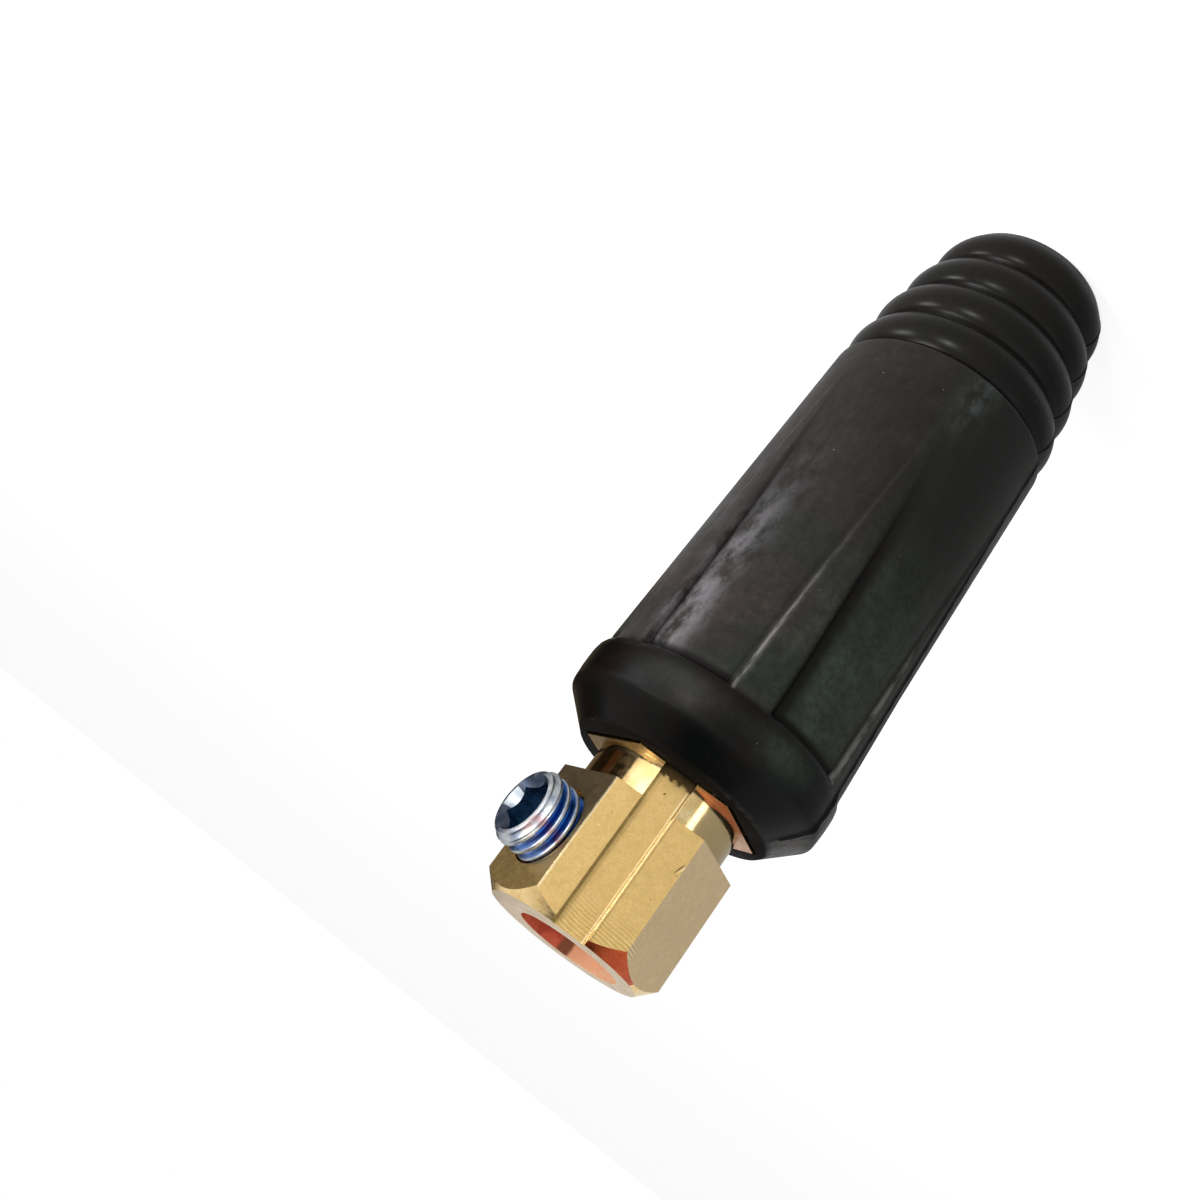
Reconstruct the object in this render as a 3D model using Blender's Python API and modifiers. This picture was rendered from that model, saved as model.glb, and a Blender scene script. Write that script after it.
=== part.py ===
"""Cable plug for a welding lead.

A moulded rubber sleeve with a ribbed cable end, a hexagonal brass insert that stands
pin first in the sleeve's mouth, and the socket screw that clamps the cable in the insert.
The plug stands on the sleeve's cable end: Z is its axis, the brass is on top, and the
clamp screw points along +X. Lengths below are in millimetres and the model is in metres.
"""
import math

import bmesh
import bpy
from mathutils import Matrix

MM = 0.001

# Brass insert, from its cable end down to the tip of the pin
HEX_FLATS = 21.0
HEX_LENGTH = 17.2
END_CHAMFER_HEIGHT = 2.1
END_CHAMFER_DEPTH = 2.0
NECK_LENGTH = 4.63
NECK_DEPTH = 0.65
FLANGE_THICKNESS = 3.0
BORE_WALL_AT_SCREW = 4.75
BORE_WALL_OPPOSITE = 2.75
BORE_DEPTH = 20.5
DRILL_POINT_HEIGHT = 2.6
KEYWAY_WIDTH = 4.4
KEYWAY_DEPTH = 1.2
KEYWAY_OFFSET = 0.3
PIN_DIAMETER = 13.0
PIN_LENGTH = 24.0
PIN_TIP_CHAMFER = 1.0
LUG_HEIGHT = 2.2
LUG_WIDTH = 4.0
LUG_LENGTH = 8.0
LUG_FROM_FLANGE = 7.0

# Clamp screw
SCREW_DIAMETER = 10.0
SCREW_LENGTH = 10.0
SCREW_PROUD = 4.5
SCREW_FROM_END = 9.1
SCREW_END_CHAMFER = 0.55
SCREW_END_CHAMFER_HEIGHT = 0.9
SCREW_DRILL_POINT = 2.6
SCREW_POINT_CHAMFER = 0.9
SCREW_CUP_DEPTH = 1.0
SOCKET_FLATS = 6.0
SOCKET_DEPTH = 5.0

# Rubber sleeve, from its mouth down to the cable end
SLEEVE_LENGTH = 87.5
FLANGE_PROUD = 0.2
MOUTH_WALL = 1.13
MOUTH_EDGE = 0.3
NOSE_CONE_HEIGHT = 4.1
NOSE_CONE_DEPTH = 3.9
NOSE_ROUND = 0.35
COLLAR_BULGE = 0.15
COLLAR_BULGE_LENGTH = 2.0
COLLAR_BULGE_FROM_BACK = 1.3
COLLAR_LENGTH = 9.6
COLLAR_BACK_DROP = 0.05
PANEL_DEPTH = 0.6
PANEL_STEP_LENGTH = 0.5
BODY_TAPER = 1.5
PLAIN_LENGTH = 5.5
RIB_COUNT = 4
RIB_PITCH = 6.25
RIB_DEPTH = 1.5
RIB_END_DROP = 3.9
RIB_ROUNDNESS = 0.6
RIB_TAPER_POWER = 1.5
RIBS_STEP = 0.35
RIBS_STEP_LENGTH = 0.8
REAR_EDGE = 1.0

# Grip lands between the recessed panels, as angles round the axis in degrees
LAND_COUNT = 6
LAND_TURN = -4.0
LAND_HALF_ANGLE = 8.8
LAND_TIP_HALF_ANGLE = 1.2
LAND_EDGE_ANGLE = 1.8
LAND_NARROWING_POWER = 1.5
LAND_STATIONS = 9
LAND_CREST_LINES = 2

# Inside of the sleeve
POCKET_SPARE = 1.0
CHANNEL_SPARE = 0.6
CHANNEL_FLARE = 2.0
REAR_BORE_CHAMFER = 0.6

# Gaps between pieces that touch on the real plug
RUBBER_GAP = 0.3
SCREW_GAP = 0.25

# How finely round shapes are divided
SLEEVE_STEPS = 72
TURNED_STEPS = 60
RIB_ARC_STEPS = 6
CUT_OVERRUN = 1.0

# Angles of the flats that carry the screw and the keyway; the lug is opposite the keyway
KEYWAY_ANGLE = math.radians(-60)
LUG_ANGLE = KEYWAY_ANGLE + math.pi

# Sizes that follow from the ones above
HEX_CORNER = HEX_FLATS / math.sqrt(3)
NECK_RADIUS = HEX_FLATS / 2 - NECK_DEPTH
BORE_RADIUS = (HEX_FLATS - BORE_WALL_AT_SCREW - BORE_WALL_OPPOSITE) / 2
BORE_OFFSET = (BORE_WALL_OPPOSITE - BORE_WALL_AT_SCREW) / 2
PIN_RADIUS = PIN_DIAMETER / 2
LUG_REACH = math.hypot(PIN_RADIUS + LUG_HEIGHT, LUG_WIDTH / 2)
POCKET_FLATS = HEX_FLATS + 2 * RUBBER_GAP
POCKET_CORNER = POCKET_FLATS / math.sqrt(3)
RING_RADIUS = max(NECK_RADIUS, LUG_REACH) + RUBBER_GAP
CHANNEL_RADIUS = BORE_RADIUS + CHANNEL_SPARE
MOUTH_RADIUS = POCKET_CORNER + MOUTH_WALL
COLLAR_RADIUS = MOUTH_RADIUS + NOSE_CONE_DEPTH
LAND_RADIUS = COLLAR_RADIUS - COLLAR_BACK_DROP
PANEL_RADIUS = LAND_RADIUS - PANEL_DEPTH
BODY_REAR_RADIUS = PANEL_RADIUS - BODY_TAPER

FLANGE_TOP = SLEEVE_LENGTH + FLANGE_PROUD
FLANGE_BOTTOM = FLANGE_TOP - FLANGE_THICKNESS
NECK_TOP = FLANGE_TOP + NECK_LENGTH
INSERT_TOP = NECK_TOP + HEX_LENGTH
PIN_TIP = FLANGE_BOTTOM - PIN_LENGTH
SCREW_HEIGHT = INSERT_TOP - SCREW_FROM_END
SCREW_OUTER_END = HEX_FLATS / 2 + SCREW_PROUD

RING_TOP = FLANGE_BOTTOM - RUBBER_GAP
RING_BOTTOM = RING_TOP - (NECK_LENGTH - 2 * RUBBER_GAP)
POCKET_FLOOR = RING_BOTTOM - HEX_LENGTH - POCKET_SPARE
COLLAR_BACK = SLEEVE_LENGTH - COLLAR_LENGTH
PANEL_FRONT = COLLAR_BACK - PANEL_STEP_LENGTH
RIBS_TOP = RIB_COUNT * RIB_PITCH
LAND_END = RIBS_TOP + PLAIN_LENGTH


def clear_scene():
    for old in list(bpy.data.objects):
        bpy.data.objects.remove(old, do_unlink=True)


def new_collection(name, hidden=False):
    collection = bpy.data.collections.new(name)
    bpy.context.scene.collection.children.link(collection)
    collection.hide_render = hidden
    return collection


def material(name, color, metallic, roughness):
    made = bpy.data.materials.new(name)
    made.use_nodes = True
    shader = made.node_tree.nodes["Principled BSDF"]
    shader.inputs["Base Color"].default_value = (*color, 1.0)
    shader.inputs["Metallic"].default_value = metallic
    shader.inputs["Roughness"].default_value = roughness
    return made


def as_cutter(obj):
    obj.hide_render = True
    obj.display_type = "WIRE"
    return obj


def scaled(mesh):
    """Turns a mesh written in millimetres into metres."""
    mesh.transform(Matrix.Scale(MM, 4))
    return mesh


def turned(name, outline, collection, steps):
    """A piece turned about Z from (radius, height) points that run down its outer side."""
    mesh = bpy.data.meshes.new(name)
    closed = outline[0][0] > 0
    points = [(radius, 0.0, height) for radius, height in outline]
    edges = [(i, i + 1) for i in range(len(points) - 1)]
    if closed:
        edges.append((len(points) - 1, 0))
    mesh.from_pydata(points, edges, [])
    obj = bpy.data.objects.new(name, scaled(mesh))
    collection.objects.link(obj)
    screw = obj.modifiers.new("turn", "SCREW")
    screw.axis = "Z"
    screw.angle = math.tau
    screw.steps = steps
    screw.render_steps = steps
    screw.use_merge_vertices = True
    screw.merge_threshold = 0.00001
    return obj


def as_mesh(obj):
    """Applies an object's modifiers to its own mesh."""
    bpy.context.view_layer.update()
    evaluated = obj.evaluated_get(bpy.context.evaluated_depsgraph_get())
    mesh = bpy.data.meshes.new_from_object(evaluated)
    obj.modifiers.clear()
    obj.data = mesh
    return mesh


def hexagon_bar(name, flats, bottom, top, collection):
    """A hexagonal bar along Z with a flat towards +X."""
    bm = bmesh.new()
    middle = Matrix.Translation((0, 0, (bottom + top) / 2))
    corner = flats / math.sqrt(3)
    bmesh.ops.create_cone(bm, cap_ends=True, segments=6, radius1=corner, radius2=corner,
                          depth=top - bottom, matrix=middle)
    mesh = bpy.data.meshes.new(name)
    bm.to_mesh(mesh)
    bm.free()
    obj = bpy.data.objects.new(name, scaled(mesh))
    collection.objects.link(obj)
    return obj


def side_block(name, angle, inner, outer, width, offset, bottom, top, collection):
    """A block at an angle round Z, from an inner to an outer distance from the axis."""
    bm = bmesh.new()
    bmesh.ops.create_cube(bm, size=1.0)
    bmesh.ops.scale(bm, vec=(outer - inner, width, top - bottom), verts=bm.verts)
    bmesh.ops.translate(bm, vec=((inner + outer) / 2, offset, (bottom + top) / 2), verts=bm.verts)
    bmesh.ops.rotate(bm, cent=(0, 0, 0), matrix=Matrix.Rotation(angle, 3, "Z"), verts=bm.verts)
    mesh = bpy.data.meshes.new(name)
    bm.to_mesh(mesh)
    bm.free()
    obj = bpy.data.objects.new(name, scaled(mesh))
    collection.objects.link(obj)
    return obj


def combine(obj, other, operation):
    step = obj.modifiers.new(other.name, "BOOLEAN")
    step.operation = operation
    step.solver = "EXACT"
    step.object = as_cutter(other)


def finish(obj, made, sharp_angle):
    obj.data.materials.clear()
    obj.data.materials.append(made)
    obj.data.shade_smooth()
    obj.data.set_sharp_from_angle(angle=math.radians(sharp_angle))


def move_origin(obj, height):
    """Moves an object's origin up its axis without moving its shape."""
    obj.data.transform(Matrix.Translation((0, 0, -height * MM)))
    obj.location.z = height * MM


def crest_radius(height):
    """Radius of the line over the tops of the cable-end ribs, which closes in to the rear."""
    return BODY_REAR_RADIUS - RIB_END_DROP * (1 - height / RIBS_TOP) ** RIB_TAPER_POWER


def rib_outline():
    """The strain-relief ribs, as round beads with narrow grooves between them."""
    points = []
    for rib in range(RIB_COUNT):
        top = RIBS_TOP - rib * RIB_PITCH
        for step in range(RIB_ARC_STEPS + 1):
            share = step / RIB_ARC_STEPS
            height = top - RIB_PITCH * share
            rise = math.sin(math.pi * share) ** RIB_ROUNDNESS if 0 < step < RIB_ARC_STEPS else 0.0
            if height > 0 and not (rib > 0 and step == 0):
                points.append((crest_radius(height) - RIB_DEPTH * (1 - rise), height))
    return points


def sleeve_outline():
    """The turned shape of the sleeve: outer side downwards, then the inside upwards."""
    nose_low = SLEEVE_LENGTH - NOSE_CONE_HEIGHT
    bulge = COLLAR_RADIUS + COLLAR_BULGE
    body_edge = RIBS_TOP + RIBS_STEP_LENGTH
    outline = [
        (MOUTH_RADIUS - MOUTH_EDGE, SLEEVE_LENGTH),
        (MOUTH_RADIUS, SLEEVE_LENGTH - MOUTH_EDGE),
        (COLLAR_RADIUS - NOSE_ROUND, nose_low + NOSE_ROUND),
        (COLLAR_RADIUS, nose_low - NOSE_ROUND),
        (bulge, COLLAR_BACK + COLLAR_BULGE_FROM_BACK + COLLAR_BULGE_LENGTH),
        (bulge, COLLAR_BACK + COLLAR_BULGE_FROM_BACK),
        (LAND_RADIUS, COLLAR_BACK),
    ]
    for station in range(LAND_STATIONS + 1):
        height = PANEL_FRONT + (LAND_END - PANEL_FRONT) * station / LAND_STATIONS
        outline.append((panel_radius(height), height))
    outline.append((panel_radius(body_edge), body_edge))
    outline.append((BODY_REAR_RADIUS - RIBS_STEP, RIBS_TOP + RIBS_STEP))
    outline += rib_outline()
    rear_radius = crest_radius(0) - REAR_EDGE / 3
    outline += [
        (rear_radius, REAR_EDGE / 2),
        (rear_radius - REAR_EDGE / 2, 0.0),
        (CHANNEL_RADIUS + REAR_BORE_CHAMFER, 0.0),
        (CHANNEL_RADIUS, REAR_BORE_CHAMFER),
        (CHANNEL_RADIUS, RIBS_TOP),
        (CHANNEL_RADIUS + CHANNEL_FLARE, POCKET_FLOOR - CHANNEL_FLARE),
        (RING_RADIUS, POCKET_FLOOR),
        (RING_RADIUS, SLEEVE_LENGTH),
    ]
    return outline


def panel_radius(height):
    """Radius of the recessed panels, which taper from the collar to the first groove."""
    share = (height - RIBS_TOP) / (PANEL_FRONT - RIBS_TOP)
    return BODY_REAR_RADIUS + BODY_TAPER * share


def land_fade(height):
    """How far along the lands a height lies: 0 at their front, 1 where they run out."""
    share = (PANEL_FRONT - height) / (PANEL_FRONT - LAND_END)
    return min(max(share, 0.0), 1.0)


def land_lines(fade, half_sector, count):
    """Angles of the sleeve's lengthwise lines, from a land's middle out to the panel's middle."""
    half = LAND_TIP_HALF_ANGLE + (LAND_HALF_ANGLE - LAND_TIP_HALF_ANGLE) * (1 - fade ** LAND_NARROWING_POWER)
    crest = half - LAND_EDGE_ANGLE / 2
    foot = half + LAND_EDGE_ANGLE / 2
    on_land = [crest * line / LAND_CREST_LINES for line in range(LAND_CREST_LINES + 1)]
    panel_steps = count - len(on_land)
    on_panel = [foot + (half_sector - foot) * step / panel_steps for step in range(panel_steps + 1)]
    return on_land + on_panel


def raise_lands(mesh):
    """Gathers the sleeve's lengthwise lines at the land edges and lifts the lands between them."""
    sector = 360.0 / LAND_COUNT
    half_count = SLEEVE_STEPS // LAND_COUNT // 2
    for vertex in mesh.vertices:
        radius = math.hypot(vertex.co.x, vertex.co.y) / MM
        height = vertex.co.z / MM
        line = round(math.degrees(math.atan2(vertex.co.y, vertex.co.x)) * SLEEVE_STEPS / 360.0)
        land = round(line / (2 * half_count))
        step = line - land * 2 * half_count
        fade = land_fade(height)
        lines = land_lines(fade, sector / 2, half_count)
        offset = math.copysign(lines[abs(step)], step)
        angle = math.radians(LAND_TURN + land * sector + offset)
        on_land = abs(step) <= LAND_CREST_LINES and LAND_END < height <= PANEL_FRONT
        if on_land and radius > MOUTH_RADIUS:
            radius += PANEL_DEPTH * (1 - fade)
        vertex.co.x = radius * math.cos(angle) * MM
        vertex.co.y = radius * math.sin(angle) * MM


def make_sleeve(parts, cutters, rubber):
    sleeve = turned("rubber_sleeve", sleeve_outline(), parts, SLEEVE_STEPS)
    raise_lands(as_mesh(sleeve))
    upper = hexagon_bar("mouth_pocket", POCKET_FLATS, RING_TOP, SLEEVE_LENGTH + CUT_OVERRUN, cutters)
    lower = hexagon_bar("body_pocket", POCKET_FLATS, POCKET_FLOOR, RING_BOTTOM, cutters)
    combine(sleeve, upper, "DIFFERENCE")
    combine(sleeve, lower, "DIFFERENCE")
    key = side_block("pocket_key", KEYWAY_ANGLE, HEX_FLATS / 2 - KEYWAY_DEPTH + RUBBER_GAP,
                     POCKET_FLATS / 2 + MOUTH_WALL / 2, KEYWAY_WIDTH - 2 * RUBBER_GAP, KEYWAY_OFFSET,
                     POCKET_FLOOR - CUT_OVERRUN, SLEEVE_LENGTH - MOUTH_EDGE, cutters)
    combine(sleeve, key, "UNION")
    finish(sleeve, rubber, 35)
    return sleeve


def insert_outline():
    """The envelope that the hexagonal bar is turned down to."""
    beyond = HEX_CORNER + CUT_OVERRUN
    slope = END_CHAMFER_HEIGHT / END_CHAMFER_DEPTH
    return [
        (0.0, INSERT_TOP),
        (HEX_CORNER - END_CHAMFER_DEPTH, INSERT_TOP),
        (beyond, INSERT_TOP - slope * (END_CHAMFER_DEPTH + CUT_OVERRUN)),
        (beyond, NECK_TOP),
        (NECK_RADIUS, NECK_TOP),
        (NECK_RADIUS, FLANGE_TOP),
        (beyond, FLANGE_TOP),
        (beyond, FLANGE_BOTTOM),
        (PIN_RADIUS, FLANGE_BOTTOM),
        (PIN_RADIUS, PIN_TIP + PIN_TIP_CHAMFER),
        (PIN_RADIUS - PIN_TIP_CHAMFER, PIN_TIP),
        (0.0, PIN_TIP),
    ]


def make_insert(parts, cutters, brass):
    insert = hexagon_bar("brass_insert", HEX_FLATS, PIN_TIP - CUT_OVERRUN, INSERT_TOP + CUT_OVERRUN, parts)
    envelope = turned("turned_envelope", insert_outline(), cutters, TURNED_STEPS)
    envelope.rotation_euler.z = math.pi / TURNED_STEPS
    combine(insert, envelope, "INTERSECT")
    lug_top = FLANGE_BOTTOM - LUG_FROM_FLANGE
    lug = side_block("cam_lug", LUG_ANGLE, PIN_RADIUS / 2, PIN_RADIUS + LUG_HEIGHT, LUG_WIDTH, 0.0,
                     lug_top - LUG_LENGTH, lug_top, cutters)
    combine(insert, lug, "UNION")
    bore_floor = INSERT_TOP - BORE_DEPTH
    bore = turned("cable_bore", [
        (0.0, INSERT_TOP + CUT_OVERRUN),
        (BORE_RADIUS, INSERT_TOP + CUT_OVERRUN),
        (BORE_RADIUS, bore_floor),
        (0.0, bore_floor - DRILL_POINT_HEIGHT),
    ], cutters, TURNED_STEPS)
    bore.location.x = BORE_OFFSET * MM
    combine(insert, bore, "DIFFERENCE")
    keyway = side_block("keyway", KEYWAY_ANGLE, HEX_FLATS / 2 - KEYWAY_DEPTH, HEX_CORNER + CUT_OVERRUN,
                        KEYWAY_WIDTH, KEYWAY_OFFSET, FLANGE_BOTTOM - CUT_OVERRUN,
                        INSERT_TOP + CUT_OVERRUN, cutters)
    combine(insert, keyway, "DIFFERENCE")
    hole_radius = SCREW_DIAMETER / 2 + SCREW_GAP
    hole = turned("screw_hole", [
        (0.0, HEX_CORNER + CUT_OVERRUN),
        (hole_radius, HEX_CORNER + CUT_OVERRUN),
        (hole_radius, SCREW_DRILL_POINT),
        (0.0, 0.0),
    ], cutters, TURNED_STEPS)
    hole.rotation_euler.y = math.pi / 2
    hole.location.z = SCREW_HEIGHT * MM
    combine(insert, hole, "DIFFERENCE")
    move_origin(insert, FLANGE_BOTTOM)
    finish(insert, brass, 30)
    return insert


def make_screw(parts, cutters, zinc, insert):
    radius = SCREW_DIAMETER / 2
    socket_corner = SOCKET_FLATS / math.sqrt(3)
    screw = turned("clamp_screw", [
        (0.0, 0.0),
        (radius - SCREW_END_CHAMFER, 0.0),
        (radius, -SCREW_END_CHAMFER_HEIGHT),
        (radius, SCREW_POINT_CHAMFER - SCREW_LENGTH),
        (radius - SCREW_POINT_CHAMFER, -SCREW_LENGTH),
        (socket_corner, -SCREW_LENGTH),
        (0.0, SCREW_CUP_DEPTH - SCREW_LENGTH),
    ], parts, TURNED_STEPS)
    as_mesh(screw)
    socket = hexagon_bar("hex_socket", SOCKET_FLATS, -SOCKET_DEPTH, CUT_OVERRUN, cutters)
    for piece in (screw, socket):
        piece.rotation_euler.y = math.pi / 2
        piece.location = (SCREW_OUTER_END * MM, 0.0, SCREW_HEIGHT * MM)
    combine(screw, socket, "DIFFERENCE")
    screw.parent = insert
    screw.location.z -= insert.location.z
    finish(screw, zinc, 30)
    return screw


def main():
    clear_scene()
    parts = new_collection("welding_cable_plug")
    cutters = new_collection("plug_cutters", hidden=True)
    rubber = material("black_rubber", (0.022, 0.022, 0.021), 0.0, 0.5)
    brass = material("brass", (0.62, 0.43, 0.19), 1.0, 0.32)
    zinc = material("blue_zinc", (0.30, 0.38, 0.62), 1.0, 0.25)
    sleeve = make_sleeve(parts, cutters, rubber)
    insert = make_insert(parts, cutters, brass)
    insert.parent = sleeve
    make_screw(parts, cutters, zinc, insert)
    for cutter in cutters.objects:
        as_cutter(cutter)


main()
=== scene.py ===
"""Looks of the welding cable plug: moulded rubber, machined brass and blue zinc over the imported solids.

Lengths below are in millimetres and angles in degrees, and MM turns them into the frame's metres.
Heights are measured from the sleeve's cable end, and turns round the axis from +X, where the screw is.
"""
import math

import bmesh
import bpy
import numpy as np
from mathutils import Matrix, Vector


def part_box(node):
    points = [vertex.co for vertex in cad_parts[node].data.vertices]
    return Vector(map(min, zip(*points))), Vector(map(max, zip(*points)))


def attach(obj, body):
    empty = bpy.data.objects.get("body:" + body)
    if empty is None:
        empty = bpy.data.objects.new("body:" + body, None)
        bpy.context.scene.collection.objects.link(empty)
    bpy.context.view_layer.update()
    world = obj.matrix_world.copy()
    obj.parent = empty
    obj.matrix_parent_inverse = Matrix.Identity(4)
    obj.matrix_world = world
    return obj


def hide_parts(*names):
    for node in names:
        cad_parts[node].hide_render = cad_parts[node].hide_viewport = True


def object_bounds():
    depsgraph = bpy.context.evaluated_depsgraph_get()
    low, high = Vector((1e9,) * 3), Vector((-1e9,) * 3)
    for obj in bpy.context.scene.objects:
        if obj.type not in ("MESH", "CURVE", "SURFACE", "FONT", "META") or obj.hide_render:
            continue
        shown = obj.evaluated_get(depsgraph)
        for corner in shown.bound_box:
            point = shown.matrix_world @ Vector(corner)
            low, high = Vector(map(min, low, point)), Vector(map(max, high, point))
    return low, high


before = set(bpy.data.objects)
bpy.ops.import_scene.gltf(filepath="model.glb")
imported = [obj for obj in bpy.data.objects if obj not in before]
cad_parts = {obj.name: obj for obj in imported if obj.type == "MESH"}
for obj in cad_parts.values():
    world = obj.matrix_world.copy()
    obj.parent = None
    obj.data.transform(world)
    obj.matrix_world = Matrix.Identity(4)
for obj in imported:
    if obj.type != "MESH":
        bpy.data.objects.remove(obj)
CAD_LOW, CAD_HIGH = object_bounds()
MM = 0.001

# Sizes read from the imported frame
INSERT_LOW, INSERT_HIGH = (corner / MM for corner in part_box("brass_insert"))
SCREW_LOW, SCREW_HIGH = (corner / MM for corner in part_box("clamp_screw"))
SLEEVE_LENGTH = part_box("rubber_sleeve")[1].z / MM
HEX_FLATS = 2 * INSERT_HIGH.x
INSERT_TOP = INSERT_HIGH.z
PIN_TIP = INSERT_LOW.z
SCREW_RADIUS = SCREW_HIGH.y
SCREW_HEIGHT = (SCREW_LOW.z + SCREW_HIGH.z) / 2
SCREW_LENGTH = SCREW_HIGH.x - SCREW_LOW.x
SCREW_OUTER_END = SCREW_HIGH.x

# Brass insert
HEX_LENGTH = 17.2
END_CHAMFER_HEIGHT = 2.1
END_CHAMFER_DEPTH = 2.0
NECK_LENGTH = 4.63
NECK_DEPTH = 0.65
FLANGE_THICKNESS = 3.0
BORE_RADIUS = 6.75
BORE_OFFSET = -1.0
BORE_DEPTH = 20.5
DRILL_POINT_HEIGHT = 2.6
KEYWAY_TURN = -60.0
KEYWAY_WIDTH = 4.4
KEYWAY_DEPTH = 1.2
KEYWAY_OFFSET = 0.3
PIN_RADIUS = 6.5
PIN_TIP_CHAMFER = 1.0
LUG_TURN = 120.0
LUG_HEIGHT = 2.2
LUG_WIDTH = 4.0
LUG_LENGTH = 8.0
LUG_FROM_FLANGE = 7.0
EDGE_WEAR = 0.13
WEAR_FROM_ANGLE = 24.0
BURR_RADIUS = 0.06
NICK_LEAN = 0.35
CHATTER_PITCH = 0.45
FACING_PITCH = 0.30

# Clamp screw
THREAD_PITCH = 1.5
THREAD_DEPTH = 0.8
SCREW_END_CHAMFER = 0.55
SCREW_END_CHAMFER_HEIGHT = 0.9
SCREW_POINT_CHAMFER = 0.9
SCREW_CUP_DEPTH = 1.0
SCREW_DRILL_POINT = 2.6
SCREW_GAP = 0.25
SOCKET_FLATS = 6.0
SOCKET_DEPTH = 5.0
SOCKET_TURN = 23.0
SOCKET_SHINE_TURN = 60.0 + SOCKET_TURN
COUNTERSINK_RADIUS = 3.85
COUNTERSINK_DEPTH = 1.2
THREAD_START = 1.0
THREAD_RUN_OUT = 0.9
START_LINE_DEPTH = 0.12

# Rubber sleeve
MOUTH_WALL = 1.13
MOUTH_EDGE = 0.3
NOSE_CONE_HEIGHT = 4.1
NOSE_CONE_DEPTH = 3.9
COLLAR_BULGE = 0.15
COLLAR_BULGE_LENGTH = 2.0
COLLAR_BULGE_FROM_BACK = 1.3
COLLAR_LENGTH = 9.6
COLLAR_BACK_DROP = 0.05
PANEL_DEPTH = 0.6
PANEL_STEP_LENGTH = 0.5
BODY_TAPER = 1.5
PLAIN_LENGTH = 5.5
RIB_COUNT = 4
RIB_PITCH = 6.25
RIB_DEPTH = 1.5
RIB_END_DROP = 3.9
RIB_TAPER_POWER = 1.5
RIB_ROUNDNESS = 0.6
RIBS_STEP = 0.35
RIBS_STEP_LENGTH = 0.8
REAR_EDGE = 1.0
LAND_COUNT = 6
LAND_TURN = -4.0
LAND_HALF_ANGLE = 8.8
LAND_TIP_HALF_ANGLE = 1.2
LAND_EDGE_ANGLE = 2.2
LAND_NARROWING_POWER = 1.5
GROOVE_DEPTH = 0.22
COLLAR_GROOVE_DEPTH = 0.32
PARTING_TURNS = (-124.0, 56.0)
POCKET_SPARE = 1.0
CHANNEL_RADIUS = 7.35
CHANNEL_FLARE = 2.0
REAR_BORE_CHAMFER = 0.6
RUBBER_GAP = 0.3

# Sizes that follow
HEX_CORNER = HEX_FLATS / math.sqrt(3)
KEYWAY_LEFT = KEYWAY_OFFSET + KEYWAY_WIDTH / 2
KEYWAY_RIGHT = KEYWAY_OFFSET - KEYWAY_WIDTH / 2
KEYWAY_OUT = Vector((math.cos(math.radians(KEYWAY_TURN)), math.sin(math.radians(KEYWAY_TURN)), 0))
KEYWAY_SIDE = Vector((-KEYWAY_OUT.y, KEYWAY_OUT.x, 0))
NECK_RADIUS = HEX_FLATS / 2 - NECK_DEPTH
NECK_TOP = INSERT_TOP - HEX_LENGTH
FLANGE_TOP = NECK_TOP - NECK_LENGTH
FLANGE_BOTTOM = FLANGE_TOP - FLANGE_THICKNESS
POCKET_FLATS = HEX_FLATS + 2 * RUBBER_GAP
MOUTH_RADIUS = POCKET_FLATS / math.sqrt(3) + MOUTH_WALL
COLLAR_RADIUS = MOUTH_RADIUS + NOSE_CONE_DEPTH
LAND_RADIUS = COLLAR_RADIUS - COLLAR_BACK_DROP
PANEL_RADIUS = LAND_RADIUS - PANEL_DEPTH
BODY_REAR_RADIUS = PANEL_RADIUS - BODY_TAPER
RING_RADIUS = max(NECK_RADIUS, math.hypot(PIN_RADIUS + LUG_HEIGHT, LUG_WIDTH / 2)) + RUBBER_GAP
RING_TOP = FLANGE_BOTTOM - RUBBER_GAP
RING_BOTTOM = RING_TOP - (NECK_LENGTH - 2 * RUBBER_GAP)
POCKET_FLOOR = RING_BOTTOM - HEX_LENGTH - POCKET_SPARE
COLLAR_BACK = SLEEVE_LENGTH - COLLAR_LENGTH
PANEL_FRONT = COLLAR_BACK - PANEL_STEP_LENGTH
RIBS_TOP = RIB_COUNT * RIB_PITCH
LAND_END = RIBS_TOP + PLAIN_LENGTH
LAND_SECTOR = 360.0 / LAND_COUNT

# Camera, solved from the hexagon's corners in the photograph
CAMERA_PLACE = (89.85, -151.05, 132.26)
CAMERA_AIM = (18.94, 8.42, 73.70)
CAMERA_ROLL = -142.38
CAMERA_LENS = 45.0


def smooth(low, high, value):
    """0 below low, 1 above high and an even curve between, for numbers or arrays."""
    share = np.clip((value - low) / (high - low), 0, 1)
    return share * share * (3 - 2 * share)


def hill(value, middle, width):
    return np.exp(-((value - middle) / width) ** 2)


def turn_between(a, b):
    """Smallest signed angle from b to a, in degrees."""
    return (a - b + 180) % 360 - 180


def near_turn(angle, middle, width):
    return hill(turn_between(angle, middle), 0, width)


def within_sector(angle, sector):
    """The angle from the middle of the sector that it lies in."""
    return (angle + sector / 2) % sector - sector / 2


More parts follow.
